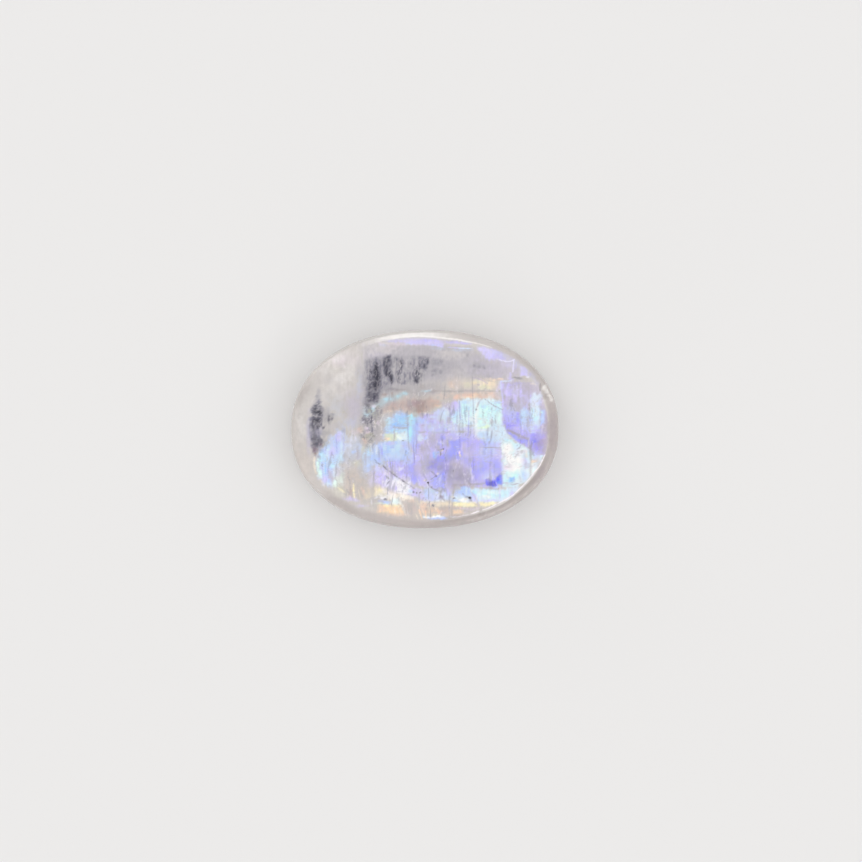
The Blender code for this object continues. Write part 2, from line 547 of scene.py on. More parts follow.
def grain(x, y, across, along, seed):
    """Smooth random waves from -1 to 1, of a size across and along."""
    knots = np.random.default_rng(seed).uniform(-1.0, 1.0, KNOTS)
    u, v = x / across + FAR, y / along + FAR
    i, j = np.floor(u).astype(int), np.floor(v).astype(int)
    a, b = ease(0.0, 1.0, u - i), ease(0.0, 1.0, v - j)

    def at(m, n):
        return knots[(i + m) % KNOTS[0], (j + n) % KNOTS[1]]

    low = at(0, 0) + (at(1, 0) - at(0, 0)) * a
    high = at(0, 1) + (at(1, 1) - at(0, 1)) * a
    return low + (high - low) * b


def layered(x, y, *layers):
    """Waves of several sizes, each with its share, its size across and along, and its seed."""
    return sum(share * grain(x, y, across, along, seed) for share, across, along, seed in layers)


def blocks(x, y, across, along, seed):
    """One random value from -1 to 1 for each small upright cell."""
    knots = np.random.default_rng(seed).uniform(-1.0, 1.0, KNOTS)
    column = np.floor(x / across + FAR).astype(int) % KNOTS[0]
    row = np.floor(y / along + FAR + 3.0 * knots[column, 7]).astype(int) % KNOTS[1]
    return knots[column, row]


def thread(value, width):
    """Thin lines, where a wave passes through zero."""
    return 1.0 - ease(0.25 * width, width, np.abs(value))


class Face:
    """The face in plan view, with a colour at each point and random waves to break the edges."""

    def __init__(self, x, y):
        self.x, self.y = x, y
        self.colour = np.tile(np.array(WARM_GREY, float), (len(x), 1))
        self.milk = np.zeros(len(x))
        self.sink = np.zeros(len(x))

        # Ragged edges, streaks and mottling
        self.wave_x = layered(x, y, (1.0, 0.45, 0.6, 1), (0.6, 0.17, 0.25, 2), (0.4, 0.09, 0.12, 11))
        self.wave_y = layered(x, y, (1.0, 0.5, 0.5, 3), (0.6, 0.16, 0.2, 4), (0.5, 0.07, 0.14, 12))
        fibre = 0.6 * grain(x + 0.05 * y, y, 0.13, 1.6, 5) + 0.5 * grain(x, y, 0.08, 0.8, 6)
        self.fibre = np.clip(1.5 * fibre, -1.0, 1.0)
        mottle = layered(x, y, (0.7, 0.2, 0.26, 7), (0.6, 0.11, 0.14, 8))
        self.mottle = np.clip(1.5 * mottle, -1.0, 1.0)
        self.torn = ease(-0.3, 0.5, grain(x, y, 1.1, 1.3, 27))
        self.smoke = ease(-0.6, 0.35, layered(x, y, (0.7, 0.08, 0.34, 28), (0.6, 0.07, 0.18, 29)))

        # Nets and cells, bent by the waves
        wx, wy = x + 0.07 * self.wave_x, y + 0.09 * self.wave_y
        small = thread(grain(wx + 9.0, wy, 0.11, 0.26, 15), 0.2)
        self.web = np.maximum(thread(grain(wx, wy, 0.16, 0.42, 14), 0.2), 0.8 * small)
        net = thread(grain(wx, wy, 0.5, 0.55, 20), 0.09)
        net = np.maximum(net, thread(grain(wx, wy + 3.0, 0.3, 0.34, 21), 0.10))
        self.veins = net * ease(-0.2, 0.4, grain(x, y, 0.6, 0.7, 22))
        self.cells = 0.6 * blocks(wx, wy, 0.31, 0.7, 25) + 0.4 * blocks(wx, wy, 0.17, 0.4, 26)

        # Single needles, glints and flecks, each kind only here and there
        tilt = wx + 0.08 * grain(x, y, 1.5, 1.5, 13) * y
        lone = ease(0.15, 0.5, grain(x, y, 0.5, 1.4, 16))
        self.needles = thread(grain(tilt, y, 0.19, 3.2, 17), 0.13) * lone
        lone = ease(0.1, 0.5, grain(x, y, 0.4, 0.9, 18))
        self.glints = thread(grain(tilt + 5.0, y, 0.16, 2.2, 19), 0.12) * lone
        lone = ease(-0.1, 0.5, grain(x, y, 0.5, 0.5, 24))
        self.flecks = ease(0.62, 0.85, grain(x, y, 0.09, 0.12, 23)) * lone

    def place(self, ragged):
        return self.x + ragged * self.wave_x, self.y + ragged * self.wave_y

    def lay(self, colour, cover, strength, fibrous=0.0, mottled=0.0, along=None, broken=0.55, sink=0.0):
        """Mixes a colour in, with edges that break up along the grain."""
        torn = 0.6 * self.mottle + 0.6 * self.fibre * self.torn
        cover = np.clip(cover + broken * 4.0 * cover * (1.0 - cover) * torn, 0.0, 1.0) * strength
        cover = cover * (1.0 - fibrous * (0.5 + 0.6 * self.fibre))
        cover = cover * (1.0 - mottled * (0.5 + 0.6 * self.mottle))
        if along:
            cover = cover * getattr(self, along)
        cover = np.clip(cover, 0, 1)
        self.colour += cover[:, None] * (np.array(colour, float) - self.colour)
        self.sink = np.maximum(self.sink, sink * cover)

    def glow(self, colour, strength, *ovals, soft=0.9, ragged=0.06, **how):
        """Soft ovals, each given by its middle, its half sizes and perhaps a turn in degrees."""
        x, y = self.place(ragged)
        for middle_x, middle_y, wide, tall, *turn in ovals:
            angle = np.radians(turn[0] if turn else 0.0)
            dx, dy = x - middle_x, y - middle_y
            u = (dx * np.cos(angle) + dy * np.sin(angle)) / wide
            v = (dy * np.cos(angle) - dx * np.sin(angle)) / tall
            self.lay(colour, 1.0 - ease(1.0 - soft, 1.0 + soft, np.hypot(u, v)), strength, **how)

    def spot(self, colour, strength, *ovals, soft=0.45, **how):
        """Like a glow, with a clearer edge."""
        self.glow(colour, strength, *ovals, soft=soft, **how)

    def inside_area(self, outline, soft=0.08, ragged=0.04):
        x, y = self.place(ragged)
        inside = np.zeros(len(x), bool)
        nearest = np.full(len(x), 1e9)
        for (ax, ay), (bx, by) in zip(outline, outline[1:] + outline[:1]):
            ex, ey = bx - ax, by - ay
            share = np.clip(((x - ax) * ex + (y - ay) * ey) / (ex * ex + ey * ey), 0, 1)
            nearest = np.minimum(nearest, np.hypot(x - ax - share * ex, y - ay - share * ey))
            crosses = (ay > y) != (by > y)
            inside ^= crosses & (x < ex * (y - ay) / (ey or 1e-12) + ax)
        depth = np.where(inside, nearest, -nearest)
        return ease(-1.8 * soft, 1.8 * soft, depth)

    def patch(self, colour, strength, outline, soft=0.08, ragged=0.04, **how):
        """A flash or veil inside a given outline."""
        self.lay(colour, self.inside_area(outline, soft, ragged), strength, **how)

    def line(self, colour, strength, width, *routes, soft=None, ragged=0.02, taper=0.6, **how):
        """Thin strokes along routes, which may thin out at both ends."""
        x, y = self.place(ragged)
        soft = width * 0.6 if soft is None else soft
        for route in routes:
            legs = np.hypot(*np.diff(np.array(route, float), axis=0).T)
            total, run = legs.sum(), 0.0
            best = np.full(len(x), 1e9)
            for (ax, ay), (bx, by), leg in zip(route, route[1:], legs):
                ex, ey = bx - ax, by - ay
                share = np.clip(((x - ax) * ex + (y - ay) * ey) / (leg * leg), 0, 1)
                away = np.hypot(x - ax - share * ex, y - ay - share * ey)
                along = (run + share * leg) / total
                half = 0.5 * width * (1.0 - taper * np.abs(2 * along - 1) ** 2)
                best = np.minimum(best, away - half)
                run += leg
            self.lay(colour, 1.0 - ease(-soft * 0.5, soft * 0.5, best), strength, **how)


def body(f):
    """Milky feldspar: warm at the left, cooler and greyer in the upper middle."""
    f.glow(EDGE_GREY, 0.8, (-9.5, 0.6, 0.6, 2.6), (-8.9, 2.9, 0.5, 1.2, -40), (-7.6, 4.3, 0.8, 0.5, 40))
    f.patch(COOL_GREY, 0.9, [(-4.6, 6.3), (-1.0, 6.5), (3.0, 6.2), (4.2, 5.6), (5.6, 4.8), (5.7, 3.8),
            (1.5, 3.6), (-3.0, 2.6), (-4.8, 1.8), (-4.9, 4.0)], soft=0.3)
    f.glow(LILAC_GREY, 0.8, (5.6, 4.5, 1.6, 1.0), (-3.6, 5.6, 0.9, 0.5), (-5.3, 1.6, 0.8, 1.2))
    f.glow(PALE_GREY, 0.6, (-3.2, 5.9, 0.9, 0.3), (-0.2, 3.4, 0.8, 0.25), (2.0, 5.6, 1.0, 0.3),
           (-5.9, 5.4, 1.6, 0.9), (-6.6, 3.4, 0.9, 0.9))
    f.glow(ROSE, 0.2, (-5.7, 5.2, 0.9, 0.4), (-6.4, 4.9, 0.5, 0.3), (-2.6, 6.1, 0.7, 0.2))
    f.glow(WHITE, 0.2, (-6.2, 3.75, 0.4, 0.3), (-7.6, 4.4, 0.8, 0.3), (-5.6, 4.2, 0.3, 0.5),
           (-9.2, 0.2, 0.3, 1.0))
    f.glow(SLATE, 0.1, (-6.4, 3.15, 0.14, 0.5), (-7.1, 3.6, 0.35, 0.3), (-7.25, 2.6, 0.3, 0.35),
           (-5.0, 4.4, 0.2, 0.6))
    f.glow(OLIVE, 0.1, (-6.7, 4.5, 0.4, 0.25), (-5.2, 2.6, 0.3, 0.4), (-6.0, 1.2, 0.5, 0.6))
    f.glow(SKY, 0.2, (-5.4, 0.45, 0.8, 0.35), (-6.6, 1.7, 0.5, 0.6), (-4.9, 3.4, 0.2, 0.8))
    f.glow(BEIGE, 0.7, (-5.0, -4.0, 1.3, 1.6), (-1.8, -6.5, 3.2, 0.5), (-6.3, -5.0, 0.9, 0.6),
           (-9.0, -2.6, 0.9, 1.4))
    f.glow((188, 184, 187), 0.8, (-1.5, 2.95, 1.9, 0.4), (0.2, 3.1, 0.9, 0.4), (-2.9, 1.9, 0.9, 0.4))


def leaf_window(f):
    """The leaf-shaped clear place at the left end, where the darkness seen through the clear stone is
    painted on as shade.
    """
    leaf = [(-8.0, 2.4), (-8.25, 1.9), (-8.42, 1.5), (-8.5, 0.9), (-8.56, 0.2), (-8.5, -0.6), (-8.42, -1.2),
            (-8.36, -1.8), (-8.2, -2.05), (-8.05, -1.75), (-7.85, -1.5), (-7.62, -1.3), (-7.6, -0.75),
            (-7.85, -0.6), (-8.0, -0.3), (-7.98, 0.0), (-7.75, 0.3), (-7.7, 1.0), (-7.68, 1.5),
            (-7.75, 2.0)]
    f.glow(DUSK, 0.3, (-8.62, -0.2, 0.2, 1.2), (-8.0, -0.2, 0.3, 0.5))
    f.glow(SLATE, 0.35, (-7.9, 2.45, 0.16, 0.5), (-7.4, 0.9, 0.5, 0.6), (-7.5, -0.3, 0.6, 0.3),
           (-6.9, 1.05, 0.08, 0.14))
    f.patch(SLATE, 0.75, leaf, soft=0.12)
    f.patch(CHARCOAL, 0.72, leaf[2:5] + [(-8.35, -0.1), (-8.0, 0.1), (-7.75, 0.3), (-7.7, 1.5),
            (-7.9, 1.95)], soft=0.1, mottled=0.1)
    f.patch(CHARCOAL, 0.4, [(-8.45, -0.1), (-8.4, -1.2), (-8.2, -1.5), (-7.7, -1.35), (-7.65, -0.75),
            (-8.05, -0.4)], soft=0.12, mottled=0.4)
    f.glow(INK, 0.6, (-8.1, 1.3, 0.22, 0.16), (-7.85, 1.22, 0.12, 0.12), (-8.25, 0.6, 0.14, 0.12),
           (-8.02, 0.62, 0.1, 0.16), (-7.95, 0.25, 0.09, 0.12), (-8.2, 1.5, 0.08, 0.06),
           (-8.1, 1.85, 0.08, 0.1))
    f.glow(CHARCOAL, 0.6, (-8.3, -0.72, 0.14, 0.09), (-7.83, -0.86, 0.17, 0.12), (-8.15, -1.12, 0.25, 0.12),
           (-7.16, 0.75, 0.1, 0.24), (-6.93, 0.78, 0.09, 0.1), (-7.5, 0.15, 0.08, 0.12))
    f.line(PALE_GREY, 0.35, 0.1, [(-8.5, 0.98), (-8.1, 0.98), (-7.7, 0.9)], mottled=0.6)
    f.glow(PALE_GREY, 0.35, (-8.3, 1.05, 0.16, 0.08), (-7.95, 0.92, 0.14, 0.07), (-8.12, 2.0, 0.1, 0.14),
           (-8.35, 1.3, 0.06, 0.14), mottled=0.4)
    f.lay(PALE_GREY, f.inside_area(leaf, 0.1) * ease(-0.3, 0.6, f.y), 0.4, along="web")
    f.glow(PLUM, 0.6, (-8.28, -1.6, 0.12, 0.24), (-7.75, -1.15, 0.14, 0.12))
    f.glow(RUST, 0.45, (-8.2, -1.88, 0.1, 0.12), (-8.05, -1.62, 0.1, 0.14))
    f.glow(OLIVE, 0.6, (-7.5, -1.25, 0.16, 0.12), mottled=0.4)
    f.glow(CREAM, 0.6, (-7.6, -1.1, 0.06, 0.1), mottled=0.3)


def windows(f):
    """Clear places in the milky skin, where the darkness seen through the clear stone is painted on as
    shade between hanging fibres.
    """
    f.patch(HAZE, 0.75, [(-4.45, 5.2), (-4.5, 4.0), (-4.45, 2.6), (-4.6, 1.7), (-3.45, 1.95), (-3.3, 2.6),
            (-3.1, 3.1), (-2.3, 3.4), (-1.5, 3.35), (-0.3, 3.4), (0.3, 4.3), (0.35, 5.4), (-1.0, 5.4),
            (-3.0, 5.45)], soft=0.14, mottled=0.35)
    f.glow(HAZE, 0.6, (0.9, 4.7, 0.8, 0.6), mottled=0.7)
    f.patch(SLATE, 0.7, [(-4.35, 5.1), (-4.45, 4.0), (-4.4, 2.6), (-4.6, 1.8), (-3.6, 1.95), (-3.35, 2.4),
            (-3.3, 3.0), (-3.05, 3.4), (-3.15, 5.1), (-3.5, 5.3)], soft=0.14, mottled=0.5)
    f.patch(CHARCOAL, 0.75, [(-4.25, 4.5), (-4.2, 3.4), (-4.3, 2.5), (-4.35, 2.05), (-3.55, 2.0),
            (-3.55, 2.7), (-3.95, 3.2), (-4.0, 4.4)], soft=0.1, along="smoke")
    f.glow(CHARCOAL, 0.65, (-4.07, 3.15, 0.08, 0.2), (-4.07, 2.35, 0.1, 0.3), (-4.2, 2.1, 0.14, 0.12),
           (-3.82, 2.45, 0.06, 0.25), (-4.2, 1.75, 0.16, 0.12))
    f.patch(CHARCOAL, 0.9, [(-3.72, 4.95), (-3.8, 4.6), (-3.84, 4.1), (-3.9, 3.5), (-3.92, 3.05),
            (-3.7, 2.9), (-3.45, 3.05), (-3.33, 3.6), (-3.38, 4.1), (-3.5, 4.6), (-3.6, 4.95)], soft=0.06)
    f.glow(INK, 0.8, (-3.66, 4.35, 0.13, 0.42), (-3.6, 3.85, 0.14, 0.35), (-3.68, 3.35, 0.16, 0.25),
           mottled=0.3)
    f.line(SLATE, 0.7, 0.16, [(-3.62, 5.35), (-3.7, 4.95)], [(-3.34, 5.1), (-3.3, 4.5), (-3.2, 3.9)])
    f.patch(SLATE, 0.75, [(-3.05, 5.4), (-2.5, 5.42), (-2.42, 5.0), (-2.55, 4.6), (-2.35, 4.2), (-2.3, 3.6),
            (-2.5, 3.32), (-2.75, 3.6), (-2.95, 3.9), (-3.1, 4.3), (-3.18, 4.8)], soft=0.09)
    f.patch(CHARCOAL, 0.85, [(-2.98, 5.36), (-2.58, 5.38), (-2.62, 5.0), (-2.7, 4.55), (-2.5, 4.45),
            (-2.36, 4.0), (-2.36, 3.6), (-2.5, 3.4), (-2.62, 3.7), (-2.85, 3.95), (-3.0, 4.4),
            (-3.1, 4.75)], soft=0.08, along="smoke")
    f.glow(CHARCOAL, 0.8, (-2.8, 5.0, 0.24, 0.36), (-2.95, 4.6, 0.12, 0.2), (-2.72, 4.2, 0.18, 0.25),
           mottled=0.2)
    f.glow(INK, 0.45, (-2.85, 4.8, 0.14, 0.3), (-2.75, 5.2, 0.16, 0.12), (-2.8, 4.15, 0.12, 0.12),
           (-2.45, 3.85, 0.05, 0.3), mottled=0.4)
    f.spot(PALE_GREY, 0.5, (-2.25, 4.5, 0.1, 0.45), (-3.2, 4.3, 0.05, 0.4), mottled=0.3)
    f.patch(CHARCOAL, 0.75, [(-2.25, 5.3), (-1.75, 5.32), (-1.62, 4.9), (-1.72, 4.45), (-1.9, 4.1),
            (-1.85, 3.5), (-2.12, 3.5), (-2.1, 4.2), (-2.05, 4.6), (-2.1, 4.9)], soft=0.09, along="smoke")
    f.glow(SLATE, 0.4, (-2.05, 5.15, 0.28, 0.22), (-2.0, 4.4, 0.2, 0.4), (-1.65, 5.1, 0.1, 0.3),
           mottled=0.5)
    f.glow(PALE_GREY, 0.5, (-1.95, 4.85, 0.1, 0.18), (-2.2, 4.8, 0.08, 0.3))
    f.patch(SLATE, 0.75, [(-1.5, 4.3), (-1.35, 4.2), (-1.4, 3.4), (-1.7, 3.4)], soft=0.08, along="smoke")
    f.glow(SLATE, 0.65, (-0.15, 4.9, 0.3, 0.4), (-0.85, 5.0, 0.14, 0.35), mottled=0.5)
    f.glow(SLATE, 0.65, (-1.1, 3.95, 0.14, 0.4), (-1.1, 4.75, 0.12, 0.2), (-2.8, 3.35, 0.2, 0.16),
           (-1.62, 3.45, 0.14, 0.08), along="smoke")
    f.patch(SLATE, 0.75, [(-0.45, 5.35), (0.3, 5.35), (0.24, 4.75), (0.05, 4.45), (-0.45, 4.5)], soft=0.09)
    f.glow(CHARCOAL, 0.7, (-0.6, 4.0, 0.28, 0.45), (-0.4, 4.75, 0.07, 0.25), (-0.62, 3.6, 0.14, 0.16),
           (0.04, 4.68, 0.12, 0.16), (0.22, 5.05, 0.07, 0.2), (-0.7, 4.2, 0.14, 0.2),
           (-0.4, 3.9, 0.12, 0.25), along="smoke")
    f.glow((154, 152, 164), 0.5, (0.9, 4.92, 0.35, 0.2), (0.75, 5.15, 0.2, 0.1), (0.75, 4.3, 0.15, 0.2))
    f.glow(SLATE, 0.4, (1.25, 5.1, 0.2, 0.08), (0.65, 4.35, 0.14, 0.1), (1.2, 4.25, 0.14, 0.12),
           (0.6, 4.0, 0.1, 0.1), (3.15, 5.5, 0.07, 0.14), (3.65, 4.75, 0.1, 0.12), (4.0, 4.6, 0.16, 0.1),
           (4.45, 4.6, 0.12, 0.1))
    f.glow(SLATE, 0.15, (4.1, 4.75, 0.6, 0.2), (4.75, 3.9, 0.2, 0.12), (0.5, 2.8, 0.2, 0.08),
           (2.0, 4.6, 0.3, 0.4))
    f.glow(CHARCOAL, 0.4, (-3.65, 3.8, 0.3, 0.8), (-3.8, 2.8, 0.4, 0.6), (-2.7, 4.9, 0.35, 0.4))
    f.patch(PALE_GREY, 0.3, [(-4.5, 5.2), (-4.5, 2.0), (-3.5, 1.95), (-3.0, 3.2), (-0.3, 3.4), (0.3, 5.3)],
            soft=0.14, along="web")
    f.patch(PALE_CYAN, 0.8, [(-3.6, 1.75), (-3.3, 2.25), (-2.7, 2.4), (-2.0, 2.65), (-1.3, 2.9),
            (-1.2, 2.65), (-1.8, 2.3), (-2.6, 2.05), (-3.1, 1.8)], soft=0.1, mottled=0.3)
    f.glow(CYAN, 0.4, (-2.8, 2.22, 0.25, 0.1), (-2.0, 2.45, 0.2, 0.1), (-1.45, 2.65, 0.25, 0.1),
           (0.1, 2.85, 0.3, 0.07))
    f.glow(RUST, 0.4, (-3.0, 2.57, 0.15, 0.07), (-2.42, 2.6, 0.06, 0.1), mottled=0.3)
    f.glow(TAN, 0.6, (-2.42, 2.45, 0.07, 0.13), (-0.2, 3.2, 0.2, 0.14), (-2.2, 2.9, 0.5, 0.08),
           (-1.7, 2.93, 0.5, 0.06))


def upper_edge(f):
    """Violet along the upper edge, ending at the thin bright steps on the right."""
    f.glow(ROSE, 0.5, (-2.2, 6.35, 0.8, 0.12), (-0.9, 6.3, 0.5, 0.07), (-3.3, 6.4, 0.3, 0.12))
    f.patch(LILAC, 0.85, [(-3.15, 6.66), (-2.4, 6.5), (-1.6, 6.47), (-1.2, 6.36), (-0.2, 6.3), (0.8, 6.2),
            (1.35, 6.1), (1.4, 6.6), (0.2, 6.85), (-1.4, 6.84), (-2.6, 6.74)], soft=0.06, broken=0.2)
    f.glow(SKY, 0.5, (0.8, 6.25, 0.3, 0.07), (-1.2, 6.38, 0.2, 0.06))
    f.line(LILAC, 0.9, 0.12, [(0.7, 6.28), (1.0, 6.2), (1.42, 6.08)])
    f.patch(LILAC, 0.8, [(1.5, 6.64), (2.4, 6.6), (3.4, 6.48), (3.5, 6.36), (2.6, 6.36), (1.5, 6.42)],
            soft=0.07, broken=0.2)
    f.glow(SKY, 0.3, (-3.05, 6.3, 0.25, 0.12), (1.1, 5.98, 0.45, 0.1), (2.6, 5.9, 0.7, 0.1))
    f.glow(CREAM, 0.3, (2.5, 6.27, 0.7, 0.07), (-2.8, 6.42, 0.4, 0.06))
    f.line(LILAC, 0.7, 0.1, [(1.7, 6.1), (2.6, 6.05), (3.5, 6.02)])
    f.line(ICE, 0.9, 0.07, [(2.4, 6.06), (3.0, 6.03), (3.55, 6.02)], ragged=0.0)
    f.patch(LILAC, 0.8, [(3.95, 6.12), (4.6, 6.1), (5.2, 5.95), (5.65, 5.7), (6.0, 5.35), (6.0, 5.08),
            (5.3, 5.15), (4.6, 5.2), (4.4, 5.5), (4.1, 5.75)], soft=0.1, broken=0.2)
    f.glow((216, 211, 253), 0.8, (4.75, 5.55, 0.35, 0.3), (4.25, 5.95, 0.3, 0.12), (5.1, 5.8, 0.3, 0.15))
    f.glow(VIOLET, 0.5, (5.5, 5.55, 0.3, 0.25), (5.8, 5.3, 0.2, 0.15), (5.1, 5.95, 0.2, 0.07),
           (2.0, 6.55, 0.45, 0.08), (3.0, 6.47, 0.4, 0.07), (-2.2, 6.6, 0.45, 0.08),
           (-1.35, 6.72, 0.3, 0.08), (0.2, 6.68, 0.7, 0.12), (7.85, 4.1, 0.12, 0.14))
    f.line(LILAC, 0.95, 0.11, [(6.68, 5.2), (6.63, 4.85), (6.56, 4.25)], ragged=0.01)
    f.line(VIOLET, 0.4, 0.16, [(6.82, 5.0), (6.74, 4.4)])
    f.glow(LILAC_GREY, 0.7, (6.92, 4.35, 0.2, 0.4))
    f.patch(LILAC, 0.95, [(7.16, 4.66), (7.5, 4.66), (7.68, 4.45), (7.68, 3.95), (7.18, 3.95)], soft=0.05,
            ragged=0.02)
    f.glow((146, 144, 146), 0.65, (6.98, 3.78, 0.24, 0.09), (6.65, 3.84, 0.18, 0.06))
    f.spot(PEARL, 0.7, (7.64, 3.86, 0.12, 0.06))
    f.glow(LILAC, 0.5, (6.4, 3.75, 0.25, 0.1))


def golden_bands(f):
    """Cream and peach flashes that cross the upper face as thin layers."""
    f.patch(CREAM, 0.4, [(1.7, 3.2), (2.4, 3.8), (4.2, 3.85), (5.7, 3.72), (5.6, 2.92), (3.0, 2.95),
            (1.7, 2.95)], soft=0.12, mottled=0.3)
    f.glow(PEACH, 0.4, (2.1, 3.4, 0.4, 0.35), (5.4, 3.7, 0.6, 0.1), (1.7, 2.5, 0.6, 0.22),
           (0.6, 2.1, 0.5, 0.12))
    f.glow(CREAM, 0.6, (4.9, 3.4, 0.6, 0.25), (4.0, 3.45, 0.4, 0.2), (3.0, 3.3, 0.4, 0.3))
    f.glow((234, 232, 204), 0.7, (4.4, 3.12, 0.4, 0.15), (3.2, 3.3, 0.25, 0.2), (3.8, 3.55, 0.25, 0.12))
    f.glow((246, 230, 206), 0.7, (5.05, 3.4, 0.25, 0.25), (3.75, 3.5, 0.2, 0.12), (5.65, 3.75, 0.2, 0.07))
    f.line(MAUVE, 0.5, 0.1, [(3.4, 3.85), (3.9, 3.8), (4.3, 3.65), (4.7, 3.4)], [(3.9, 3.35), (4.1, 3.3)])
    f.line(TAN, 0.25, 0.08, [(4.0, 3.9), (4.6, 3.62), (5.4, 3.5)])
    f.line(TAN, 0.5, 0.12, [(0.5, 2.85), (2.0, 2.8), (3.5, 2.85), (5.6, 2.82)], taper=0.3, mottled=0.3)
    f.glow(TAN, 0.4, (1.9, 2.8, 0.2, 0.08), (3.2, 2.85, 0.2, 0.07), (0.6, 2.8, 0.14, 0.08))
    f.patch(PEACH, 0.75, [(2.2, 2.2), (3.4, 2.25), (5.68, 2.2), (5.66, 2.72), (3.0, 2.72), (2.3, 2.65)],
            soft=0.1)
    f.glow(ORANGE, 0.45, (3.85, 2.5, 0.3, 0.15), (0.95, 1.72, 0.3, 0.12), (3.2, 2.35, 0.4, 0.08))
    f.patch(CLAY, 0.5, [(1.3, 1.75), (0.9, 2.15), (0.3, 2.35), (-0.3, 2.25), (-1.0, 2.2), (-1.7, 2.15),
            (-2.4, 1.85), (-3.1, 1.5), (-3.3, 1.2), (-2.5, 1.25), (-1.7, 1.5), (-1.0, 1.3), (-0.3, 1.15),
            (0.3, 1.3), (0.9, 1.45), (1.25, 1.5)], soft=0.2, fibrous=0.2)
    f.glow((210, 192, 187), 0.6, (-2.1, 1.7, 0.7, 0.25, 12))
    f.glow((180, 164, 168), 0.6, (-1.0, 1.8, 0.4, 0.3), (-0.5, 1.9, 0.4, 0.2))
    f.glow((182, 162, 156), 0.6, (-0.15, 1.7, 0.25, 0.4), (-0.5, 1.3, 0.4, 0.12), (-0.5, 1.6, 0.14, 0.3))
    f.glow(CREAM, 0.4, (0.2, 1.15, 0.4, 0.06), (-2.6, 1.3, 0.3, 0.1), (1.1, 1.7, 0.15, 0.1))


def veined_streak(f):
    """The broken foot of the windows, a tangle of dark veins, cream flecks and cyan."""
    streak = [(-4.6, 2.0), (-3.4, 1.95), (-3.2, 1.2), (-3.6, 0.4), (-3.7, -0.6), (-4.0, -1.4), (-4.4, -1.3),
              (-4.9, -0.5), (-4.8, 0.6), (-4.7, 1.3)]
    f.patch(COOL_GREY, 0.7, [(-4.8, 1.9), (-3.3, 1.8), (-3.1, 0.2), (-3.1, -1.2), (-4.4, -1.4),
            (-5.0, -0.2)], soft=0.3, mottled=0.3)
    f.glow(PALE_CYAN, 0.6, (-4.25, 1.3, 0.4, 0.35), (-3.45, 1.8, 0.35, 0.2), (-3.8, 1.3, 0.2, 0.3),
           mottled=0.4)
    f.glow(CYAN, 0.45, (-4.35, 1.1, 0.2, 0.14), (-3.9, 1.6, 0.16, 0.1), mottled=0.4)
    f.patch(OLIVE, 0.6, streak, soft=0.12, along="veins")
    f.patch(SLATE, 0.75, streak, soft=0.12, along="web")
    f.glow(OLIVE, 0.5, (-4.05, -0.5, 0.25, 0.22), (-4.1, 1.45, 0.14, 0.1), (-4.5, -0.65, 0.14, 0.1))
    f.spot(PEARL, 0.7, (-3.82, 1.75, 0.18, 0.12), (-4.55, 0.5, 0.14, 0.09), (-4.68, -0.3, 0.1, 0.08),
           (-3.72, 0.55, 0.06, 0.14), (-3.66, 0.2, 0.05, 0.1), (-4.35, 0.05, 0.2, 0.12), mottled=0.3)
    f.glow(ROSE, 0.6, (-4.35, 0.0, 0.2, 0.15), (-4.2, -0.25, 0.2, 0.12), (-3.45, 0.5, 0.1, 0.14))
    f.line(CREAM, 0.5, 0.16, [(-3.72, 0.75), (-3.7, 0.1)], mottled=0.4)
    f.line(CHARCOAL, 0.45, 0.16, [(-4.02, 1.45), (-3.95, 0.75), (-4.0, 0.42), (-3.95, 0.0)], along="smoke")
    f.glow(CHARCOAL, 0.2, (-4.35, 0.5, 0.16, 0.2))
    f.glow(CHARCOAL, 0.45, (-4.3, 0.42, 0.16, 0.22), (-4.5, 0.78, 0.2, 0.16), (-4.0, 0.75, 0.14, 0.2),
           (-4.25, 1.75, 0.22, 0.18), (-4.8, -0.46, 0.1, 0.1), (-3.92, 0.05, 0.12, 0.12), along="smoke")
    f.line(SLATE, 0.55, 0.1, [(-3.62, 1.55), (-3.42, 1.0)], [(-3.78, 1.3), (-3.62, 0.9)], [(-3.22, 1.5),
           (-3.3, 1.1)], [(-4.2, -0.1), (-3.8, -0.02), (-4.05, -0.3)], [(-4.25, -0.95), (-3.95, -0.7)],
           [(-4.75, -0.6), (-4.45, -0.65)], [(-3.75, -1.05), (-3.93, -1.3), (-3.85, -1.6), (-3.72, -2.0),
           (-3.72, -2.3)])
    f.glow(PEACH, 0.6, (-4.45, -0.95, 0.25, 0.22), (-4.8, -0.05, 0.2, 0.2))
    f.glow((222, 222, 198), 0.6, (-4.65, -1.55, 0.16, 0.4))


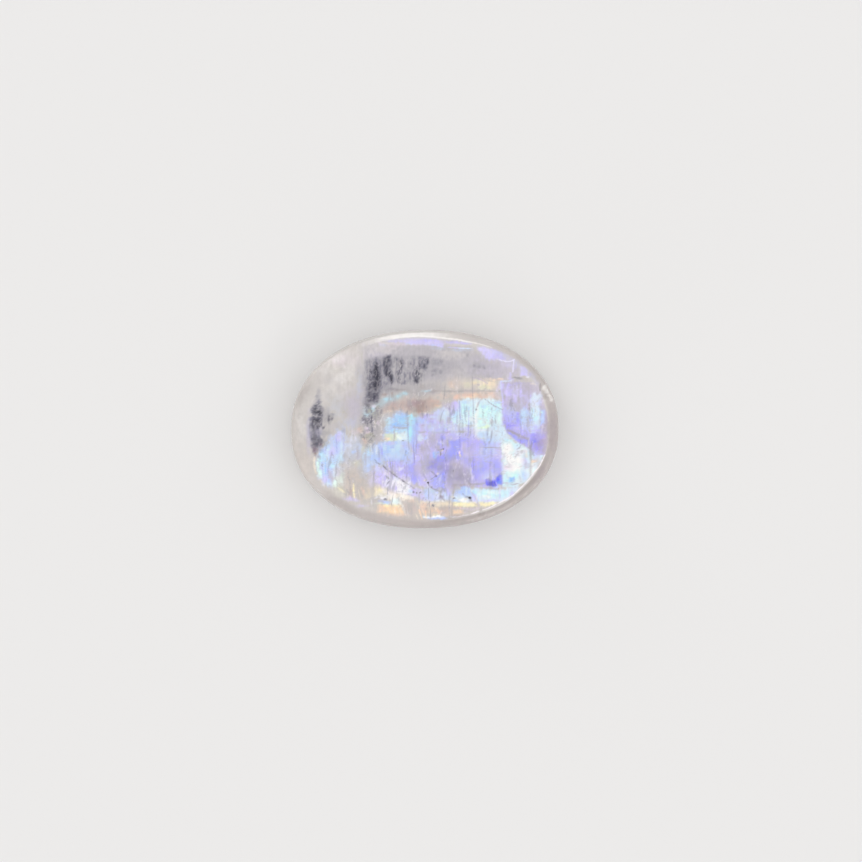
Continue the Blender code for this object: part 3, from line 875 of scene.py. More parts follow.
def middle(f):
    """Violet and periwinkle middle, with a round milky veil below it."""
    f.patch(LILAC, 0.85, [(-0.6, 0.82), (0.2, 1.05), (1.2, 1.45), (2.1, 2.1), (2.5, 2.15), (2.5, 0.4),
            (3.6, 0.1), (3.9, -0.7), (5.7, -0.9), (5.75, -3.4), (4.6, -4.2), (2.6, -4.3), (0.3, -4.4),
            (-0.5, -4.2), (-0.9, -2.0)], soft=0.12, mottled=0.1)
    f.glow(VIOLET, 0.5, (0.0, 0.95, 0.3, 0.2), (0.5, 0.45, 0.35, 0.2), (1.3, 0.0, 0.5, 0.35),
           (2.6, -0.6, 0.8, 0.3), (0.4, 0.0, 0.5, 0.3), (3.3, -2.5, 0.35, 0.35), (3.8, -3.4, 0.25, 0.4),
           (4.5, -1.1, 0.8, 0.2), (3.2, -2.4, 0.4, 0.25))
    f.glow(SKY, 0.6, (-0.1, 0.6, 0.25, 0.2), (0.1, -0.65, 0.2, 0.3))
    f.glow(ICE, 0.6, (0.55, 0.88, 0.35, 0.09), (-0.3, -0.65, 0.2, 0.25), (1.58, 1.15, 0.1, 0.25),
           (1.55, 0.5, 0.12, 0.3))
    f.glow(LILAC_GREY, 0.7, (1.7, 1.75, 0.35, 0.35), (1.75, 0.6, 0.16, 0.5), (1.2, 0.8, 0.12, 0.5),
           (0.6, -0.9, 0.5, 0.5), (-0.1, -1.4, 0.3, 0.4), (2.9, -1.5, 0.14, 0.5), (3.45, -1.0, 0.2, 0.9),
           (0.9, -1.35, 0.3, 0.12))
    f.glow(COOL_GREY, 0.6, (-0.1, 0.25, 0.2, 0.08), (0.3, 0.2, 0.14, 0.1), (-0.1, -0.22, 0.35, 0.07),
           (1.5, -0.25, 1.2, 0.07), (1.7, 0.0, 0.1, 0.18), (0.55, 0.72, 0.2, 0.05), (0.3, -2.4, 0.35, 0.5),
           (1.65, -1.1, 0.16, 0.3), (0.05, -3.0, 0.35, 0.5), mottled=0.3)
    f.glow(PERIWINKLE, 0.7, (1.35, -0.68, 0.25, 0.16), (1.1, -1.1, 0.22, 0.12), (2.9, -0.85, 0.2, 0.2),
           (4.3, -2.95, 0.5, 0.25), (4.45, -2.55, 0.4, 0.2))
    f.patch(PERIWINKLE, 0.9, [(1.85, -0.9), (2.6, -0.8), (2.6, -1.6), (2.75, -2.0), (2.2, -2.15),
            (1.4, -2.1), (1.5, -1.8), (1.9, -1.5)], soft=0.12)
    f.patch((168, 164, 218), 0.75, [(0.2, -2.95), (0.35, -2.5), (0.75, -2.1), (1.3, -2.0), (2.5, -1.95),
            (2.5, -2.2), (1.9, -2.35), (1.5, -2.6), (1.35, -3.1), (1.0, -3.2)], soft=0.14)
    f.patch((190, 194, 254), 0.8, [(0.5, -3.65), (0.95, -3.5), (1.15, -3.25), (1.5, -3.15), (1.6, -3.8),
            (1.5, -4.4), (1.0, -4.45), (0.5, -4.2)], soft=0.12)
    f.glow((156, 160, 250), 0.6, (1.38, -3.4, 0.16, 0.25), (1.5, -3.75, 0.08, 0.3))
    f.glow(LILAC, 0.6, (2.3, -0.7, 0.3, 0.12), (0.1, 0.2, 0.1, 0.14))
    f.spot(SKY, 0.8, (0.75, -1.9, 0.18, 0.25))
    f.spot(AZURE, 0.5, (0.68, -2.0, 0.08, 0.2), (0.97, -1.74, 0.12, 0.1))
    f.glow(ICE, 0.4, (4.75, -3.4, 0.4, 0.3), (5.15, -1.7, 0.08, 0.3), (4.4, -3.7, 0.3, 0.1))
    f.glow(PERIWINKLE, 0.5, (1.35, -3.5, 0.3, 0.6), (2.35, -2.2, 0.9, 0.14), (3.6, -3.1, 0.25, 0.6),
           (1.9, -2.05, 0.5, 0.12), (1.15, -2.3, 0.3, 0.14))
    f.patch(VEIL_GREY, 0.8, [(1.5, -3.1), (1.75, -2.6), (2.1, -2.3), (2.7, -2.45), (3.0, -2.75),
            (3.4, -2.9), (3.65, -3.3), (3.6, -3.9), (3.2, -4.15), (2.4, -4.1), (1.8, -4.25), (1.6, -3.8)],
            soft=0.24, mottled=0.15, ragged=0.09)
    f.glow((204, 196, 202), 0.5, (2.3, -2.7, 0.4, 0.25), (2.35, -3.25, 0.4, 0.25), mottled=0.5)
    f.glow((184, 180, 206), 0.45, (3.4, -4.25, 0.9, 0.14))
    f.glow((168, 164, 180), 0.45, (2.6, -3.3, 0.3, 0.4), (1.85, -3.2, 0.14, 0.4), (3.3, -3.8, 0.2, 0.2),
           mottled=0.5)
    f.glow(TAN, 0.75, (2.75, -4.17, 0.3, 0.08), (3.4, -4.15, 0.2, 0.08), (2.2, -4.2, 0.2, 0.1))


def cyan_left(f):
    """Blue and cyan flashes left of the middle, cut by a thin dark seam."""
    f.patch(SKY, 0.9, [(-3.05, 0.0), (-2.75, 0.45), (-2.45, 0.95), (-2.15, 1.2), (-1.8, 1.32),
            (-1.35, 1.12), (-1.0, 0.98), (-0.6, 0.85), (-0.5, 0.2), (-0.7, -0.95), (-3.05, -0.95)],
            soft=0.14)
    f.glow((206, 206, 212), 0.6, (-2.95, 0.8, 0.2, 0.3), (-2.7, 1.05, 0.2, 0.14))
    f.glow((208, 226, 242), 0.6, (-2.6, 0.5, 0.2, 0.3), (-2.75, 0.1, 0.2, 0.3),
           (-2.1, 0.95, 0.1, 0.25, -35))
    f.glow(AZURE, 0.6, (-1.75, 0.7, 0.4, 0.3), (-1.6, 0.3, 0.3, 0.12), (-2.1, 0.3, 0.3, 0.14))
    f.glow(CYAN, 0.4, (-1.6, 0.6, 0.3, 0.3), (-2.75, 0.5, 0.2, 0.3))
    f.patch(CYAN, 0.9, [(-1.27, 1.05), (-0.98, 0.95), (-0.9, 0.1), (-0.95, -0.95), (-1.12, -0.95)],
            soft=0.09)
    f.patch(CYAN, 0.65, [(-2.9, -0.05), (-1.3, 0.0), (-1.3, -0.35), (-2.9, -0.2)], soft=0.08)
    f.line(TAN, 0.5, 0.14, [(-2.35, 0.12), (-1.95, 0.12)], [(-1.95, 0.06), (-1.3, 0.08)], taper=0.3,
           mottled=0.3)
    f.patch((226, 230, 202), 0.8, [(-3.0, -0.32), (-2.05, -0.3), (-2.05, -0.9), (-3.0, -0.92)], soft=0.07)
    f.glow(ORANGE, 0.7, (-2.85, -0.75, 0.18, 0.12))
    f.patch(ICE, 0.9, [(-2.05, -0.35), (-1.3, -0.3), (-1.25, -0.95), (-2.05, -0.92)], soft=0.1)
    f.glow((232, 240, 232), 0.7, (-2.0, -0.5, 0.35, 0.22), (-1.95, -0.75, 0.25, 0.14))
    f.glow(WHITE, 0.3, (-1.7, -0.75, 0.25, 0.12))
    f.patch(SKY, 0.9, [(-3.15, -0.97), (-1.3, -0.95), (-1.15, -2.2), (-2.0, -2.45), (-3.2, -2.4)],
            soft=0.06)
    f.glow(DUSK, 0.35, (-2.4, -1.4, 0.14, 0.05))
    f.patch(SKY, 0.8, [(-4.2, -1.6), (-3.6, -1.1), (-3.0, -1.0), (-3.0, -2.7), (-3.6, -2.7), (-4.4, -3.1),
            (-4.4, -1.9)], soft=0.2, mottled=0.4)
    f.patch(VIOLET, 0.7, [(-2.9, -2.35), (-1.2, -2.2), (-0.7, -2.4), (-0.7, -4.0), (-1.5, -3.85),
            (-2.2, -3.4)], soft=0.16)
    f.glow(VIOLET, 0.6, (-2.4, -2.5, 0.4, 0.1), (-0.9, -1.1, 0.14, 0.4), (-1.2, -3.6, 0.5, 0.3),
           (-3.4, -2.2, 0.12, 0.25), (-3.25, -1.6, 0.08, 0.3))
    f.glow(PERIWINKLE, 0.5, (-1.05, -2.8, 0.18, 0.5), (-0.75, -3.7, 0.35, 0.5), (-0.5, -1.25, 0.14, 0.25))
    f.glow(LILAC, 0.6, (-1.7, -2.65, 0.3, 0.2), (-1.6, -3.5, 0.35, 0.2), (-2.6, -1.1, 0.4, 0.12),
           (-1.55, -1.35, 0.35, 0.35))
    f.patch(VIOLET, 0.75, [(-1.0, -0.9), (-0.95, 0.6), (-0.65, 0.8), (-0.5, 0.4), (-0.6, -1.6),
            (-0.9, -2.6)], soft=0.1, fibrous=0.15)
    f.glow(SKY, 0.6, (-0.45, 0.6, 0.2, 0.2), (-0.8, 0.5, 0.1, 0.2))
    f.glow(ROSE, 0.7, (-0.9, -1.65, 0.08, 0.25))
    f.glow(ICE, 0.5, (-0.3, -0.65, 0.22, 0.25), (-0.75, -1.5, 0.06, 0.3), (-2.2, -1.85, 0.5, 0.35),
           (-1.9, -1.3, 0.3, 0.2), (-4.05, -2.55, 0.2, 0.25), (-3.0, -1.35, 0.1, 0.2))
    f.glow(COOL_GREY, 0.5, (-0.25, -1.5, 0.2, 0.4), (-0.3, -0.2, 0.3, 0.07), mottled=0.3)


def cyan_field(f):
    """The large pale cyan flash right of the middle."""
    f.patch(ICE, 0.9, [(2.55, 2.15), (3.0, 2.22), (4.6, 2.2), (5.6, 2.12), (5.8, 1.5), (5.85, 0.6),
            (6.1, -0.2), (6.5, -0.7), (6.0, -1.2), (5.7, -0.9), (4.0, -0.75), (3.75, 0.0), (2.6, 0.3),
            (2.0, 0.4), (1.95, 1.0), (2.4, 1.4)], soft=0.1, fibrous=0.1)
    f.glow(PALE_ICE, 0.7, (3.0, 1.2, 0.5, 0.9), (4.4, 1.2, 0.9, 0.9))
    f.glow(CYAN, 0.35, (4.7, 1.3, 0.7, 0.5), (2.3, 0.95, 0.2, 0.25), (3.0, 1.5, 0.3, 0.4),
           (5.5, 1.3, 0.25, 0.5))
    f.glow(MINT, 0.6, (4.2, 1.1, 0.5, 0.5), (4.3, 0.2, 0.45, 0.2), (5.5, 0.7, 0.2, 0.5),
           (4.5, 0.5, 0.5, 0.2))
    f.glow((234, 250, 212), 0.7, (4.65, 0.15, 0.16, 0.12), (4.2, 0.1, 0.2, 0.06))
    f.glow(SKY, 0.5, (4.4, 1.7, 0.2, 0.12), (2.2, 1.2, 0.2, 0.3), (3.0, 2.0, 0.3, 0.1),
           (5.5, 1.95, 0.25, 0.08), (4.3, -0.4, 0.3, 0.16), (5.3, -0.7, 0.3, 0.3), (4.8, -0.85, 0.5, 0.14))
    f.glow(LILAC, 0.7, (2.35, 1.75, 0.25, 0.3), (2.1, 0.05, 0.3, 0.16))
    f.glow(WHITE, 0.5, (3.9, 1.6, 0.1, 0.4), (3.85, 0.6, 0.08, 0.5), (3.9, -0.15, 0.1, 0.3), mottled=0.2)
    f.glow(CREAM, 0.5, (3.0, 0.3, 0.2, 0.1), (4.15, 0.75, 0.14, 0.08), mottled=0.3)
    f.glow(PEARL, 0.6, (4.25, -0.1, 0.35, 0.08))


def milky_right(f):
    """The white right end of the face, and the cyan band under it."""
    f.patch(PALE_ICE, 0.95, [(5.72, -1.0), (6.3, -0.75), (7.0, -1.1), (7.6, -1.4), (7.95, -1.6),
            (8.2, -1.95), (8.9, -1.95), (8.4, -2.95), (7.5, -4.0), (6.6, -4.4), (5.8, -4.3), (5.7, -3.3)],
            soft=0.06)
    f.glow(WHITE, 0.95, (6.25, -1.45, 0.4, 0.4), (6.35, -2.2, 0.5, 0.4), (6.95, -2.4, 0.55, 0.3),
           (6.0, -1.8, 0.3, 0.4), (6.6, -2.8, 0.6, 0.3), (7.1, -1.7, 0.4, 0.3))
    f.glow(ROSE, 0.4, (6.25, -2.9, 0.3, 0.2), (7.6, -1.6, 0.2, 0.12), (5.9, -3.1, 0.15, 0.3))
    f.glow(SKY, 0.35, (6.85, -1.35, 0.25, 0.2), (7.3, -3.3, 0.3, 0.4), (6.1, -3.7, 0.2, 0.2))
    f.glow(CREAM, 0.7, (7.6, -1.95, 0.12, 0.25), (8.05, -2.6, 0.12, 0.3), (7.95, -3.2, 0.1, 0.25))
    f.glow(ORANGE, 0.8, (8.25, -2.42, 0.2, 0.1))
    f.glow(LILAC_GREY, 0.5, (7.5, -2.4, 0.1, 0.4), (5.85, -2.1, 0.1, 0.3), (7.42, -1.9, 0.07, 0.3))
    f.glow(CYAN, 0.4, (6.8, -3.5, 0.2, 0.16), (6.1, -3.9, 0.2, 0.07), (6.2, -0.9, 0.4, 0.15))
    f.glow((238, 246, 254), 0.6, (7.7, -3.2, 0.4, 0.4), (8.2, -2.75, 0.2, 0.2), (7.1, -4.0, 0.4, 0.2))
    f.spot(TAN, 0.6, (7.22, -1.65, 0.15, 0.13), (6.92, -1.92, 0.12, 0.08), (7.08, -1.4, 0.06, 0.06),
           (6.75, -2.05, 0.12, 0.04), mottled=0.3)
    f.patch(ICE, 0.9, [(2.3, -4.6), (2.9, -4.4), (4.2, -4.45), (5.7, -4.5), (6.6, -4.3), (7.2, -4.3),
            (6.3, -5.2), (5.6, -5.5), (2.0, -5.45), (2.0, -5.0)], soft=0.08)
    f.glow(SKY, 0.8, (2.9, -4.6, 0.55, 0.2), (3.4, -4.9, 0.3, 0.2), (2.3, -5.35, 0.25, 0.07),
           (3.0, -4.4, 0.3, 0.1))
    f.glow(CYAN, 0.6, (3.7, -4.72, 0.3, 0.1, -35), (5.6, -4.8, 0.8, 0.25), (4.6, -4.8, 0.5, 0.2),
           (0.55, -4.6, 0.25, 0.12, -20))
    f.patch((214, 226, 253), 0.85, [(-0.15, -4.45), (0.2, -4.3), (0.55, -4.5), (1.1, -4.8), (1.7, -4.6),
            (2.0, -5.3), (0.0, -5.4), (-0.2, -5.0)], soft=0.12, fibrous=0.2)
    f.glow((228, 222, 252), 0.7, (-0.15, -5.05, 0.25, 0.3), (0.25, -5.3, 0.3, 0.1))
    f.glow(LILAC, 0.7, (1.78, -4.6, 0.2, 0.3), (-0.2, -5.1, 0.14, 0.2), (3.7, -5.2, 0.2, 0.3),
           (5.0, -5.36, 0.8, 0.06), (6.5, -4.85, 0.14, 0.3), (5.6, -4.9, 0.06, 0.4), (4.4, -4.3, 0.8, 0.07),
           (5.2, -4.33, 0.5, 0.05))
    f.glow(WHITE, 0.7, (1.3, -5.4, 0.2, 0.08, -20), (0.95, -5.35, 0.12, 0.06), (3.05, -5.25, 0.25, 0.1),
           (2.65, -5.25, 0.2, 0.1), (3.1, -5.4, 0.3, 0.06), (4.9, -4.75, 0.6, 0.12), (4.6, -5.05, 0.3, 0.1))


def violet_domain(f):
    """The violet right end, with its straight left border and the cyan patches inside it."""
    f.patch(LILAC_GREY, 0.95, [(5.62, 3.55), (6.4, 3.62), (7.1, 3.5), (8.55, 3.45), (8.75, 2.6),
            (9.05, 1.6), (9.2, 0.4), (9.15, -1.0), (8.95, -1.95), (8.55, -2.0), (8.2, -1.95), (7.95, -1.6),
            (7.1, -1.05), (6.2, -0.3), (5.88, 0.5), (5.8, 2.0)], soft=0.05)
    f.glow(VIOLET, 0.3, (6.3, 3.3, 0.5, 0.12), (6.75, 2.1, 0.2, 0.15), (6.9, 3.4, 0.3, 0.08),
           (6.2, 1.7, 0.3, 0.2))
    f.glow(ROSE, 0.7, (6.1, 2.8, 0.18, 0.12), (6.6, 2.5, 0.2, 0.1), (6.4, 2.28, 0.2, 0.07))
    f.glow(COOL_GREY, 0.6, (6.9, 1.75, 0.3, 0.16), (7.55, 2.6, 0.25, 0.45), mottled=0.2)
    f.patch(VIOLET, 0.75, [(5.82, 1.45), (6.5, 1.4), (7.15, 1.25), (7.2, 0.0), (8.0, -0.3), (9.05, -0.25),
            (8.95, -1.4), (8.85, -1.95), (7.95, -1.55), (7.0, -1.0), (6.2, -0.35), (5.92, 0.5)], soft=0.08)
    f.glow(PERIWINKLE, 0.7, (6.9, 0.8, 0.2, 0.3), (7.1, -0.8, 0.5, 0.12, -25), (6.5, -0.45, 0.3, 0.08, -30))
    f.glow((166, 160, 250), 0.6, (6.35, 0.25, 0.4, 0.18, -15))
    f.glow((166, 152, 228), 0.55, (8.5, -1.2, 0.35, 0.5), (8.25, -0.6, 0.25, 0.25))
    f.glow(DEEP_BLUE, 0.5, (8.15, -0.95, 0.26, 0.16), broken=0.3)
    f.glow(PERIWINKLE, 0.4, (8.1, -0.55, 0.16, 0.25))
    f.glow(DEEP_BLUE, 0.35, (7.65, -0.85, 0.12, 0.09))
    f.glow(LILAC, 0.6, (7.0, -0.08, 0.4, 0.12, -20), (7.4, -0.25, 0.25, 0.14), (6.8, 0.1, 0.3, 0.1),
           (7.15, 2.7, 0.1, 0.5), (6.1, 3.0, 0.4, 0.3), (6.6, 2.6, 0.5, 0.4))
    f.patch(SKY, 0.9, [(7.2, 1.4), (7.75, 1.4), (7.7, 0.2), (7.2, 0.2)], soft=0.08, mottled=0.15)
    f.patch(ICE, 0.9, [(7.85, 2.4), (8.25, 2.6), (8.7, 2.5), (8.65, 2.0), (8.6, 0.1), (8.5, -0.25),
            (7.8, -0.2), (7.9, 1.6)], soft=0.14, mottled=0.3)
    f.glow((236, 246, 254), 0.5, (8.25, 1.7, 0.3, 0.7))
    f.glow(CREAM, 0.5, (8.15, 3.35, 0.2, 0.06), (8.82, 2.0, 0.08, 0.2))
    f.glow(LILAC, 0.8, (7.92, 2.45, 0.14, 0.12), (8.8, 0.7, 0.12, 0.25), (8.4, -0.1, 0.3, 0.1))
    f.glow(CYAN, 0.6, (8.1, 1.1, 0.22, 0.3), (8.3, 0.8, 0.2, 0.14))
    f.patch(SKY, 0.75, [(8.6, 1.5), (9.0, 1.45), (9.05, 0.4), (8.6, 0.3)], soft=0.08, mottled=0.2)
    f.glow(MINT, 0.7, (8.1, 1.0, 0.2, 0.12), (8.65, 1.25, 0.12, 0.12), (7.97, 1.35, 0.08, 0.16))
    f.glow(MAUVE, 0.85, (8.85, 0.0, 0.2, 0.3), (8.95, -0.8, 0.2, 0.5), (8.85, -1.6, 0.14, 0.3),
           (9.1, 0.8, 0.1, 0.5))
    f.spot(ICE, 0.9, (8.05, -0.24, 0.24, 0.06))
    f.line(TAN_LILAC, 0.9, 0.2, [(6.2, -0.08), (6.55, -0.25), (7.05, -0.48), (7.65, -0.74)], taper=0.3)
    f.line(PERIWINKLE, 0.5, 0.16, [(6.0, 0.1), (6.3, -0.35), (7.0, -0.8), (7.6, -1.1)])
    f.line(ICE, 0.7, 0.08, [(6.2, -0.48), (6.9, -1.0), (7.6, -1.42), (8.0, -1.7), (8.3, -1.95),
           (8.9, -2.0)])
    f.line(LILAC, 0.95, 0.13, [(5.68, 3.5), (5.72, 2.9), (5.82, 2.2), (5.85, 1.6)], taper=0.1)
    f.line(ICE, 0.75, 0.1, [(5.58, 3.56), (6.1, 3.57), (6.45, 3.62)], [(5.64, 3.5), (5.7, 3.0)])
    f.line(LILAC, 0.6, 0.14, [(6.4, 4.2), (6.35, 3.7)])


def deep_spots(f):
    """The few places where the blue is strongest."""
    f.patch((112, 112, 232), 0.9, [(4.5, -3.95), (4.62, -3.8), (4.8, -3.9), (5.0, -3.8), (5.2, -3.85),
            (5.36, -4.22), (5.0, -4.26), (4.62, -4.22)], soft=0.05, ragged=0.07)
    f.patch((136, 142, 248), 0.9, [(5.18, -3.8), (5.4, -3.6), (5.6, -3.3), (5.72, -3.5), (5.72, -4.12),
            (5.4, -4.18), (5.28, -4.0)], soft=0.05, ragged=0.07)
    f.glow((104, 100, 222), 0.6, (4.9, -4.02, 0.26, 0.16), (5.48, -3.8, 0.1, 0.2), mottled=0.3)
    f.line((150, 146, 246), 0.6, 0.05, [(5.1, -3.7), (5.08, -4.1)])
    f.glow(VIOLET, 0.5, (5.6, -3.42, 0.1, 0.14), (4.65, -3.85, 0.14, 0.08), (4.45, -4.0, 0.2, 0.16))
    f.glow(AZURE, 0.45, (5.55, -4.0, 0.14, 0.12))
    f.line(DUSK, 0.75, 0.1, [(4.5, -3.78), (4.75, -3.74), (5.0, -3.85)], [(5.72, -3.3), (5.77, -4.1)])
    f.line(LILAC, 0.7, 0.06, [(5.28, -3.9), (5.42, -4.22)])
    f.patch(AZURE, 0.9, [(6.3, -3.62), (6.6, -3.58), (6.62, -3.98), (6.32, -4.0)], soft=0.06)
    f.line(DUSK, 0.6, 0.06, [(6.62, -3.5), (6.67, -4.0)])
    f.line(LILAC_GREY, 0.7, 0.09, [(7.05, -3.5), (7.2, -4.0)])


def lower_gold(f):
    """Yellow, peach and white flashes along the lower edge."""
    f.patch(BEIGE, 0.7, [(0.9, -5.72), (4.0, -5.72), (4.6, -5.9), (4.0, -6.2), (2.0, -6.5), (1.0, -6.5)],
            soft=0.1)
    f.patch(YELLOW, 0.95, [(2.12, -5.48), (3.7, -5.46), (3.98, -5.8), (3.3, -5.78), (2.12, -5.8)],
            soft=0.06)
    f.patch(YELLOW, 0.9, [(4.08, -5.48), (5.5, -5.48), (4.75, -5.8), (4.1, -5.8)], soft=0.06)
    f.patch((241, 230, 210), 0.75, [(-0.6, -5.35), (0.6, -5.4), (2.0, -5.45), (2.0, -5.78), (0.8, -5.76),
            (-0.3, -5.85)], soft=0.08, mottled=0.6)
    f.patch((226, 208, 198), 0.45, [(0.3, -5.9), (1.9, -5.95), (1.95, -6.4), (1.4, -6.5), (0.4, -6.45)],
            soft=0.12, mottled=0.3)
    f.glow(CREAM, 0.8, (1.2, -5.6, 0.3, 0.12), (0.2, -5.4, 0.4, 0.12), (0.85, -5.6, 0.12, 0.12),
           (1.7, -5.62, 0.25, 0.1))
    f.patch(ORANGE, 0.6, [(2.1, -6.05), (2.9, -6.05), (2.9, -6.28), (2.1, -6.3)], soft=0.06)
    f.glow(ROSE, 0.6, (3.5, -5.98, 0.35, 0.1), (2.9, -5.9, 0.3, 0.06), (3.1, -6.2, 0.2, 0.06))
    f.glow(CLAY, 0.4, (0.1, -6.0, 0.15, 0.2), (2.4, -6.42, 0.35, 0.06))
    # Painted highlight: white and pale blue along the ridge at the lower edge
    f.spot(WHITE, 0.95, (0.92, -6.54, 0.4, 0.08), soft=0.8)
    f.glow(SKY, 0.95, (0.98, -6.7, 0.45, 0.08), (1.35, -6.6, 0.14, 0.1))
    f.glow(ICE, 0.7, (0.15, -6.58, 0.3, 0.08), (1.65, -6.68, 0.1, 0.06), (2.1, -6.52, 0.2, 0.04))
    f.line(ORANGE, 0.7, 0.12, [(-0.42, -6.05), (-0.3, -6.4), (-0.2, -6.75)], [(0.02, -6.1), (0.12, -6.7)],
           taper=0.4)
    f.line(CREAM, 0.6, 0.1, [(-0.68, -6.35), (-0.5, -6.75)], [(-0.25, -5.9), (-0.05, -6.4)])
    f.patch(ORANGE, 0.8, [(-3.45, -5.62), (-1.8, -5.62), (-1.6, -6.4), (-2.6, -6.45), (-3.45, -6.2)],
            soft=0.12)
    f.glow(ORANGE, 0.7, (-2.1, -6.1, 0.4, 0.2))
    f.glow(YELLOW, 0.6, (-2.1, -5.72, 0.35, 0.1), (-2.85, -5.75, 0.25, 0.08), (0.75, -6.38, 0.25, 0.08),
           (-3.4, -4.5, 0.25, 0.12), (-3.62, -4.75, 0.14, 0.2))
    f.glow(BEIGE, 0.5, (-2.9, -6.4, 0.5, 0.1), (-1.6, -5.6, 0.2, 0.2))
    f.patch((248, 238, 226), 0.85, [(-2.7, -4.85), (-2.0, -4.75), (-1.3, -4.92), (-0.8, -5.2),
            (-1.1, -5.32), (-1.7, -5.3), (-1.9, -5.2), (-2.7, -5.25)], soft=0.1)
    f.patch((240, 252, 250), 0.9, [(-2.5, -5.2), (-1.95, -5.15), (-1.8, -5.62), (-2.5, -5.66)], soft=0.08)
    f.patch(SKY, 0.7, [(-3.1, -5.3), (-2.6, -5.45), (-2.6, -5.58), (-3.1, -5.58)], soft=0.06)
    f.patch((196, 199, 221), 0.85, [(-3.55, -5.28), (-3.05, -5.32), (-3.05, -5.52), (-3.5, -5.48)],
            soft=0.05)
    f.glow(MINT, 0.5, (-3.2, -5.59, 0.4, 0.04))
    f.glow(PEARL, 0.7, (-3.2, -5.13, 0.3, 0.08), (-3.6, -5.12, 0.15, 0.06))
    f.patch(YELLOW, 0.7, [(-3.75, -4.35), (-3.4, -4.25), (-3.1, -4.4), (-2.4, -4.65), (-2.35, -4.95),
            (-3.72, -4.95)], soft=0.13, fibrous=0.3, mottled=0.2)
    f.glow(WHITE, 0.4, (-2.75, -4.9, 0.3, 0.1), (-3.1, -4.65, 0.1, 0.15), (-3.3, -4.95, 0.2, 0.06))
    f.glow(PEACH, 0.5, (-1.05, -5.35, 0.25, 0.1), (-0.1, -5.9, 0.25, 0.35), (0.1, -5.55, 0.3, 0.1),
           (-3.25, -5.95, 0.25, 0.14), (-2.3, -6.45, 0.9, 0.1), (0.8, -6.1, 0.3, 0.2),
           (1.3, -6.2, 0.3, 0.14), (2.4, -5.88, 0.3, 0.06))
    f.glow((198, 189, 187), 0.85, (-1.0, -5.85, 0.45, 0.4), soft=0.5)


def pale_wedge(f):
    """The white and lilac ground under the long diagonal crack."""
    f.patch(LILAC, 0.85, [(-3.7, -2.75), (-3.1, -2.8), (-2.2, -3.5), (-1.4, -4.0), (-0.8, -4.5),
            (-0.2, -4.4), (-0.1, -5.3), (-1.1, -5.0), (-2.3, -4.6), (-3.4, -4.2), (-3.8, -4.0)], soft=0.1,
            fibrous=0.15)
    f.patch(WHITE, 0.8, [(-2.2, -3.75), (-1.6, -3.98), (-0.98, -4.42), (-1.15, -4.85), (-1.7, -4.82),
            (-2.15, -4.75)], soft=0.08)
    f.glow(ICE, 0.55, (-3.5, -3.05, 0.2, 0.25), (-2.15, -3.75, 0.2, 0.2))
    f.glow(PEARL, 0.7, (-1.6, -4.75, 0.5, 0.12))
    f.glow(ROSE, 0.7, (-2.85, -3.3, 0.25, 0.14))
    f.glow(SKY, 0.6, (-1.1, -4.65, 0.14, 0.2), (0.05, -4.75, 0.12, 0.3))
    f.glow(VIOLET, 0.35, (-3.0, -3.6, 0.1, 0.3))
    f.glow(LILAC_GREY, 0.7, (-3.05, -3.95, 0.25, 0.16), (-3.75, -3.5, 0.1, 0.6), (-3.3, -4.15, 0.2, 0.1))
    f.line(DUSK, 0.6, 0.08, [(-1.25, -4.86), (-0.9, -5.02)])


